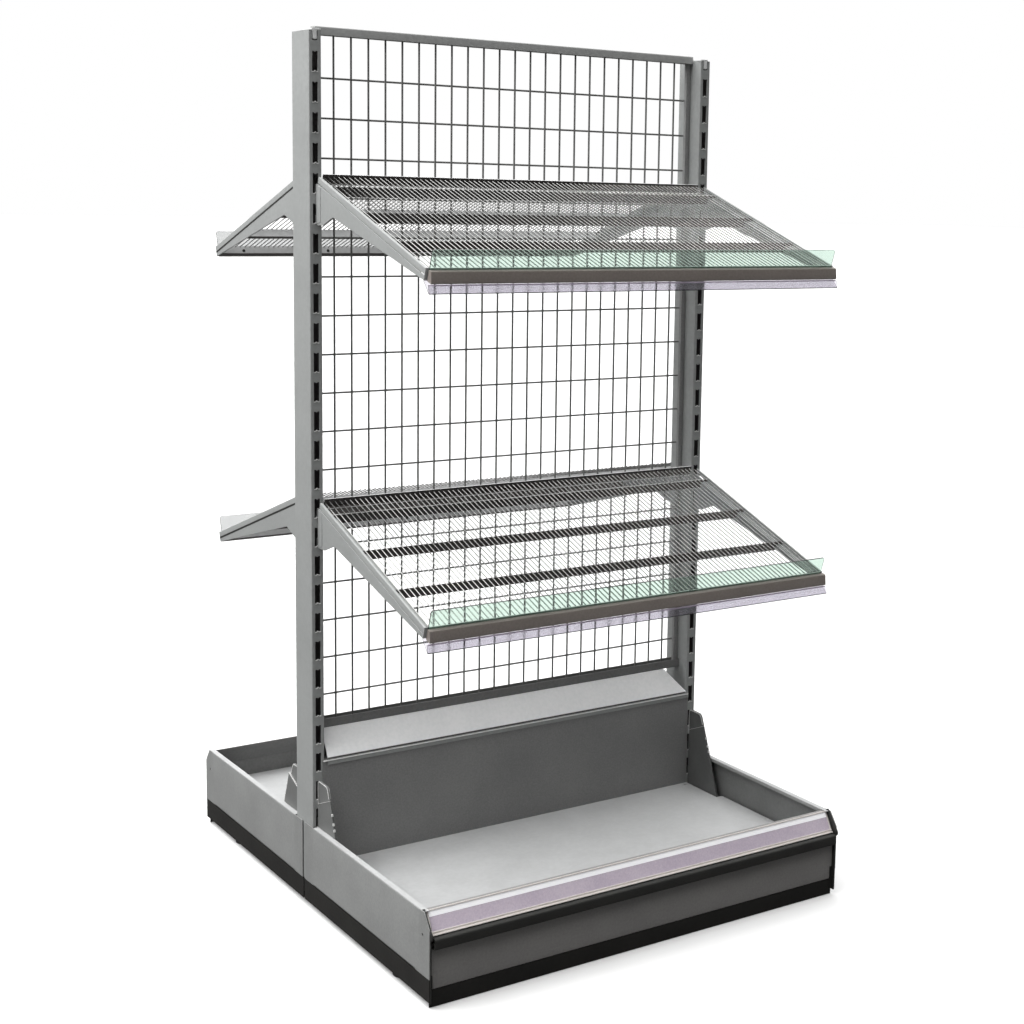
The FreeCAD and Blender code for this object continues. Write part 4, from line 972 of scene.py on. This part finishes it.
def stay_edge(z):
    """Points of the stay's sloping front edge at the given heights."""
    return np.column_stack([np.interp(z, [STAY_FOOT[1], STAY_HEAD[1]], [STAY_FOOT[0], STAY_HEAD[0]]), z])


def stay(foot, x0, x1):
    """Stay plate from a given height up."""
    front = stay_edge(np.array([max(foot, STAY_FOOT[1]), STAY_HEAD[1]]))
    upper = front[1:] if foot >= STAY_FOOT[1] else front
    outline = np.vstack([[(STAY_REAR[0], foot), (front[0, 0], foot)], upper, [STAY_REAR]])
    return along_x(rounded(outline, 1.0, steps=2, closed=True), x0, x1, block=True)


def highlight_edges(x0, x1):
    """Rim round the head, the stay's top edge and its teeth; x0 and x1 are the stay's two faces."""
    rim = [(-35.4, 186), (-35.4, 232.6), (-40.2, 237.2), (-71.6, 236.2), (-76.4, 230.6), (-82, 217)]
    rim = along_x(sheet(rim, 1.4, 4.0), -LEG_OUT - HIGHLIGHT_PROUD, -LEG_IN + HIGHLIGHT_PROUD)
    low, high = min(x0, x1) - HIGHLIGHT_PROUD, max(x0, x1) + HIGHLIGHT_PROUD
    crest = [STAY_REAR, STAY_REAR - (0, HIGHLIGHT_T), STAY_HEAD - (0, HIGHLIGHT_T), STAY_HEAD]
    shapes = [rim, along_x(crest, low, high, block=True)]
    for y, z in stay_edge(TEETH):
        tooth = [(y + 1, z - 2), (y - 2.2, z - 2), (y - 1.4, z + 2), (y + 1, z + 2)]
        shapes.append(along_x(tooth, low, high, block=True))
    return joined(*shapes)


LEG_STAYS = {"left": (SIDE_TOP + 0.5, -LEG_OUT - STAY_T, -LEG_OUT, leg_coat),
             "right": (INNER_STAY_LOW, -LEG_IN, -LEG_IN + STAY_T, shaded_leg_coat)}
# The edge strips are painted highlight; the right legs' darker coat is painted shade.
for side in ("front", "back"):
    for hand, (foot, x0, x1, coat) in LEG_STAYS.items():
        name = side + "_hooked_leg_" + hand
        shape = for_side(side, for_hand(hand, joined(leg_plate(), stay(foot, x0, x1))))
        piece(name, shape, "frame", coat, "light_grey_paint", [side + "_leg_" + hand], bevel=0.6)
        edges = for_side(side, for_hand(hand, highlight_edges(x0, x1)))
        piece(name + "_edges", edges, "frame", highlight_coat, "light_grey_paint")
print("legs")

# %% [markdown]
# The base sides are folded sheet: a face, a flange turned in along the top with a hem, and a low flange.
# The front corner is cut off at a slant. A strip of dark rubber set deep in the joint between the front
# and the back side is painted shade, so the joint reads as a dark line. A pale strip on each top flange
# is painted highlight, so it runs as a light line along each side, and the inner faces take the darker
# leg coat as painted shade. One side is made and mirrored. Its front corner is a pierced strip, because
# there is a small hole in it.

# %% Base sides
SIDE_OUT, SIDE_T, SIDE_LOW, SIDE_BEND, HEM_IN, HEM_LOW = 413.5, 1.5, 50.0, 2.2, 402.5, 148.0
SIDE_FRONT, SIDE_FOLD, SIDE_BACK, SIDE_REAR = -478.0, -443.5, -40.0, -5.5
SLANT_LOW, SLANT_BACK, PIN_CELL, PIN_R, PIN_SHIFT = 130.0, -460.0, (105.0, 127.0), 2.5, 5.75
JOINT_SHADE_HALF, JOINT_SHADE_Z, JOINT_SHADE_X = 12.0, (11.0, 152.0), (-409.6, -408.8)
FLANGE_HIGHLIGHT_Y, FLANGE_HIGHLIGHT_X, FLANGE_HIGHLIGHT_T = (-459.0, -40.5), (-SIDE_OUT + 1.2, -403.2), 0.15


def base_side():
    """Left front side: the folded middle stretch, the flat front corner with a small hole, the rear end."""
    fold = [(-HEM_IN, HEM_LOW), (-HEM_IN, SIDE_TOP), (-SIDE_OUT, SIDE_TOP), (-SIDE_OUT, SIDE_LOW)]
    middle = along_y(sheet(fold, SIDE_T, SIDE_BEND), SIDE_FOLD, SIDE_BACK)
    half, centre = (SIDE_FOLD - SIDE_FRONT) / 2, (SIDE_FOLD + SIDE_FRONT) / 2
    hole = circle(PIN_R, 12) + (PIN_SHIFT, 0)
    cells = [SIDE_LOW, *PIN_CELL, SLANT_LOW]
    points, blocks = pierced(cells, [False, True, False], half, hole, SIDE_T, rims=True)
    corner = (np.column_stack([points[:, 1] - SIDE_OUT, points[:, 0] + centre, points[:, 2]]), blocks)
    slant = [(SIDE_FRONT, SLANT_LOW), (SLANT_BACK, SIDE_TOP), (SIDE_FOLD, SIDE_TOP), (SIDE_FOLD, SLANT_LOW)]
    flats = [along_x(outline, -SIDE_OUT, -SIDE_OUT + SIDE_T, block=True)
             for outline in (slant, oblong(SIDE_REAR, SIDE_BACK, SIDE_LOW, SIDE_TOP))]
    low = along_y(oblong(-SIDE_OUT, -LEG_OUT, SIDE_LOW, SIDE_LOW + SIDE_T), LEG_END, SIDE_BACK, block=True)
    return joined(middle, corner, *flats, low)


# The sides' inner faces take the darker leg coat as painted shade.
for side in ("front", "back"):
    for hand in ("left", "right"):
        shape = for_side(side, for_hand(hand, base_side()))
        piece(side + "_folded_side_" + hand, shape, "frame", side_coat, "light_grey_paint",
              [side + "_side_" + hand], inside=leg_coat)
# A dark strip deep in the joint: painted shade.
joint_shade = along_x(rounded(oblong(-JOINT_SHADE_HALF, JOINT_SHADE_HALF, *JOINT_SHADE_Z), 2.0, closed=True), *JOINT_SHADE_X, block=True)
piece("side_joint_shade_strips", pair(joint_shade), "frame", rubber, "black_rubber")
# Pale strips on the top flanges: painted highlight.
flange_highlight = along_x(oblong(*FLANGE_HIGHLIGHT_Y, SIDE_TOP, SIDE_TOP + FLANGE_HIGHLIGHT_T), *FLANGE_HIGHLIGHT_X, block=True)
flange_highlight = joined(flange_highlight, mirrored(flange_highlight, 1))
piece("flange_top_highlights", pair(flange_highlight), "frame", tray_coat, "light_grey_paint")
print("base sides and seals")

# %% [markdown]
# The front panel is one sheet with a foot, a tall face, a leaning top and a return; the back one ends at
# its top; the panels' inner faces take a darker coat as painted shade. The dark plinth below is folded
# too. The sloped cover behind the tray ends in a lip with a groove rolled into it; a dark strip above the
# groove is painted shadow and a bright bead along it is painted highlight. All are folded lines carried
# along the bay; the cover's right end is clipped, so its points go to different lengths.

# %% Panels, plinths and covers
CAP_IN, PANEL_T, PANEL_BEND = 409.5, 1.2, 2.4
PANEL_Y, PANEL_FOLD, PANEL_NOTCH, PANEL_LOW, NOTCH_IN = -472.0, 117.0, 53.2, 30.0, 5.0
PANEL_TOP = {"front": [(-444, 141), (-444, 153), (-452, 153)], "back": [(-456, 153)]}
PLINTH_BACK, PLINTH_Y, PLINTH_LOW, PLINTH_T, PLINTH_BEND = -458.0, -471.0, 1.0, 2.0, 2.6
COVER_LEFT, COVER_T, COVER_BEND, COVER_LOW, COVER_LOW_Y = -384.0, 1.2, 1.6, 276.0, -37.7
CLIPPED_Z, CLIPPED_X = [COVER_LOW, 295.0, LOW_RAIL[0]], [388.0, 384.0, 350.5]
LIP_Y, GROOVE_Y, GROOVE_Z, GROOVE_HALF, LIP_END_Z, LIP_RIGHT = -38.6, -37.4, 270.5, 2.0, 263.0, 393.0
BEAD_X, BEAD_R, LIP_SHADOW_X, LIP_SHADOW_Z = 392.5, 1.1, 383.5, (273.4, 275.2)


def front_panel(side):
    """Down from the top to the notch at the foot, and a narrower foot below the notch."""
    main = PANEL_TOP[side] + [(PANEL_Y, PANEL_FOLD), (PANEL_Y, PANEL_NOTCH)]
    foot = [(PANEL_Y, PANEL_NOTCH), (PANEL_Y, PANEL_LOW), (PLINTH_BACK, PANEL_LOW)]
    return joined(along_x(sheet(main, PANEL_T, PANEL_BEND), -CAP_IN, CAP_IN),
                  along_x(sheet(foot, PANEL_T, PANEL_BEND), -CAP_IN + NOTCH_IN, CAP_IN - NOTCH_IN))


def plinth():
    """The fold under the panel's foot and the upright strip."""
    path = [(PLINTH_BACK, PANEL_LOW), (PLINTH_Y, PANEL_LOW), (PLINTH_Y, PLINTH_LOW)]
    return along_x(sheet(path, PLINTH_T, PLINTH_BEND), -CAP_IN, CAP_IN)


def cover():
    """Seat and slope; the right end of the slope is clipped, so each point there has its own reach."""
    path = [(-1, LOW_RAIL[0]), (-RAIL_HALF_D, LOW_RAIL[0]), (COVER_LOW_Y, COVER_LOW)]
    outline = sheet(path, COVER_T, COVER_BEND)
    reach = np.interp(outline[:, 1], CLIPPED_Z, CLIPPED_X)
    return drawn_out(outline, (COVER_LEFT, 0, 0), spots(reach, 0, 0))


def cover_lip():
    """The upright lip below the slope, with its groove."""
    path = [(COVER_LOW_Y, COVER_LOW), (LIP_Y, GROOVE_Z + GROOVE_HALF), (GROOVE_Y, GROOVE_Z),
            (LIP_Y, GROOVE_Z - GROOVE_HALF), (LIP_Y, LIP_END_Z)]
    return along_x(sheet(path, COVER_T, COVER_BEND), COVER_LEFT, LIP_RIGHT)


# The panels' inner faces are painted shade; the strip above the groove is painted shadow and the bead is
# painted highlight.
for side in ("front", "back"):
    piece(side + "_folded_panel", for_side(side, front_panel(side)), "frame", front_coat, "dark_grey_paint",
          [side + "_panel"], inside=shade_grey_coat)
    piece(side + "_folded_plinth", for_side(side, plinth()), "frame", plinth_coat, "black_paint",
          [side + "_plinth"])
    piece(side + "_sloped_cover", for_side(side, cover()), "frame", ledge_coat, "light_grey_paint",
          [side + "_ledge"])
    piece(side + "_cover_lip", for_side(side, cover_lip()), "frame", light_coat, "light_grey_paint",
          [side + "_ledge"])
    bead = rods([(-BEAD_X, LIP_Y, GROOVE_Z)], [(BEAD_X, LIP_Y, GROOVE_Z)], BEAD_R)
    piece(side + "_lip_highlight", for_side(side, bead), "frame", highlight_coat, "light_grey_paint")
    lip_shadow = along_x(oblong(LIP_Y, COVER_LOW_Y, *LIP_SHADOW_Z), -LIP_SHADOW_X, LIP_SHADOW_X, block=True)
    piece(side + "_lip_shadow", for_side(side, lip_shadow), "frame", shade_coat, "dark_grey_paint")
print("panels, plinths and covers")

# %% [markdown]
# The base's ticket strip is a cream extrusion with two lips and a ridge. A white header and a lavender
# card lie in it. Below runs a hollow rubber bumper with a rib inside, so its cut ends show an E. Black
# moulded plates close both ends of the front. The strip lies on a leaning face, so its section is given
# up that face and out from it.

# %% Ticket strip, bumper and end caps
LEAN_FOOT, LEAN_TOP = np.array([-472.0, 117.0]), np.array([-452.0, 153.0])
lean = (LEAN_TOP - LEAN_FOOT) / np.linalg.norm(LEAN_TOP - LEAN_FOOT)
lean_out = np.array([-lean[1], lean[0]])
STRIP_X, CARD_X, CARD_BACK, CARD_FRONT, HEADER_FRONT = 407.0, 404.0, 1.05, 1.7, 1.9
CARD_LOW, CARD_TOP, HEADER_TOP = 6.9, 29.6, 38.5
BUMPER_BACK, BUMPER_OUT, BUMPER_Z, BUMPER_T, BUMPER_BEND = -472.1, -485.0, (98.0, 117.0), 2.2, 4.5
BUMPER_RIB_Y, BUMPER_RIB_Z = -483.2, (106.6, 108.4)
CAP_OUT, NOTCH_SHADE_IN, NOTCH_SHADE_Y, NOTCH_SHADE_Z = 412.0, 398.0, (-470.6, -462.0), (31.5, 53.0)


def on_lean(outline, x):
    """An outline given up the leaning top and out from it, carried along the bay."""
    outline = np.asarray(outline, float)
    return along_x(LEAN_FOOT + outline[:, :1] * lean + outline[:, 1:] * lean_out, -x, x, block=True)


holder = [(0, 0.1), (0, 4), (2.2, 4), (2.2, 1), (5, 1), (5, 2.6), (6.8, 2.6), (6.8, 1), (38.6, 1),
          (38.6, 3.4), (41.1, 3.4), (41.1, 0.1)]
piece("base_ticket_holder", on_lean(rounded(holder, 0.5, steps=2, closed=True), STRIP_X), "frame",
      cream_plastic, "ticket_plastic", ["front_base_ticket_strip"])
card = on_lean(oblong(CARD_LOW, CARD_TOP, CARD_BACK, CARD_FRONT), CARD_X)
piece("base_ticket_card", card, "frame", label_card, "ticket_plastic")
# The header paper glows a little: painted light.
header = on_lean(oblong(CARD_TOP, HEADER_TOP, CARD_BACK, HEADER_FRONT), CARD_X)
piece("base_ticket_header", header, "frame", label_paper, "ticket_plastic")
skin = [(BUMPER_BACK, BUMPER_Z[1]), (BUMPER_OUT, BUMPER_Z[1]), (BUMPER_OUT, BUMPER_Z[0]),
        (BUMPER_BACK, BUMPER_Z[0])]
skin = along_x(sheet(skin, BUMPER_T, BUMPER_BEND), -STRIP_X, STRIP_X)
rib = along_x(oblong(BUMPER_RIB_Y, BUMPER_BACK, *BUMPER_RIB_Z), -STRIP_X, STRIP_X, block=True)
piece("rubber_bumper", joined(skin, rib), "frame", rubber, "black_rubber", ["front_bumper"])
cap = [(LEG_END, 10), (-479, 10), (-479, 112), (-484.5, 117), (-484.5, 122), (-456, 157.5), (LEG_END, 144.5)]
cap = along_x(rounded(cap, [3, 2, 2, 2, 2, 2, 3], closed=True), -CAP_OUT, -CAP_IN, block=True)
# A black block behind each end of the panel's notch: painted shade, the dark inside of the base seen through
# the notch.
notch_shade = along_x(oblong(*NOTCH_SHADE_Y, *NOTCH_SHADE_Z), -CAP_IN, -NOTCH_SHADE_IN, block=True)
piece("front_end_plates", pair(joined(cap, notch_shade)), "frame", black_plastic, "black_plastic",
      ["front_end_caps"], bevel=0.7)
print("ticket strip, bumper and end plates")

# %% [markdown]
# Under each leg stands a levelling foot: a moulded pad with a collar, and a zinc-plated screw whose
# thread is a wave that climbs one pitch for each turn. The pad is a turned profile. A Screw modifier
# could wind the thread; rings with a changing radius look the same and end cleanly.

# %% Feet
PITCH_MM, STEM_R, THREAD_DEPTH, STEM_Z = 1.75, 5.0, 0.9, (3.3, 62.0)
HEXAGON_R, HEXAGON_Z = 7.5, (11.4, 14.4)


def threaded_stem(centre, low, high, sides=24, rows_per_turn=6):
    """Radius R - d |2 frac(z / p - a / 2 pi) - 1| at height z and angle a: a V thread of pitch p."""
    count = int((high - low) / PITCH_MM * rows_per_turn)
    z = np.linspace(low, high, count)
    angle = 2 * np.pi * np.arange(sides) / sides
    phase = np.mod(z[:, None] / PITCH_MM - angle / (2 * np.pi), 1.0)
    radius = STEM_R - THREAD_DEPTH * np.abs(2 * phase - 1)
    caps = np.vstack([np.arange(sides), np.arange(sides) + sides * (count - 1)])
    return ring_points(radius, z, centre, sides), [(ring_walls(count, sides), 0), (caps, 0)]


pad_profile = [(0, 0), (20, 0), (20, 5), (17.5, 7), (9, 7), (8, 11), (5.1, 11), (5.1, 3), (0, 3)]
pad_profile = rounded(pad_profile, 1.0)
hexagon = rounded(circle(HEXAGON_R, 6), 0.8, closed=True)
for side, y in (("front", -FOOT_Y), ("back", FOOT_Y)):
    for hand, x in (("left", -FOOT_X), ("right", FOOT_X)):
        tail = side + "_" + hand
        piece("levelling_pad_" + tail, lathed(pad_profile, (x, y, 0)), "pad_" + tail, black_plastic,
              "black_plastic", [side + "_pad_" + hand])
        screw = joined(threaded_stem((x, y, 0), *STEM_Z), along_z(hexagon, *HEXAGON_Z, (x, y)))
        piece("levelling_screw_" + tail, screw, "screw_" + tail, zinc, "zinc_steel",
              [side + "_screw_" + hand])
print("feet")

# %% [markdown]
# The tray floors, the kick panels behind them and the side plinths are flat folded sheets whose solids
# are already right, so those stay and only take their finishes.

# %% Finishes of the solids that stay
STAYING = {"deck": tray_coat, "kick_panel": dark_coat}
for side in ("front", "back"):
    for name, finish in STAYING.items():
        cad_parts[side + "_" + name].material_slots[0].material = finish
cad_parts["side_plinths"].material_slots[0].material = plinth_coat
hidden = [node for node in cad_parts.values() if node.hide_render]
print("solids that stay", len(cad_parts) - len(hidden), "replaced", len(hidden))
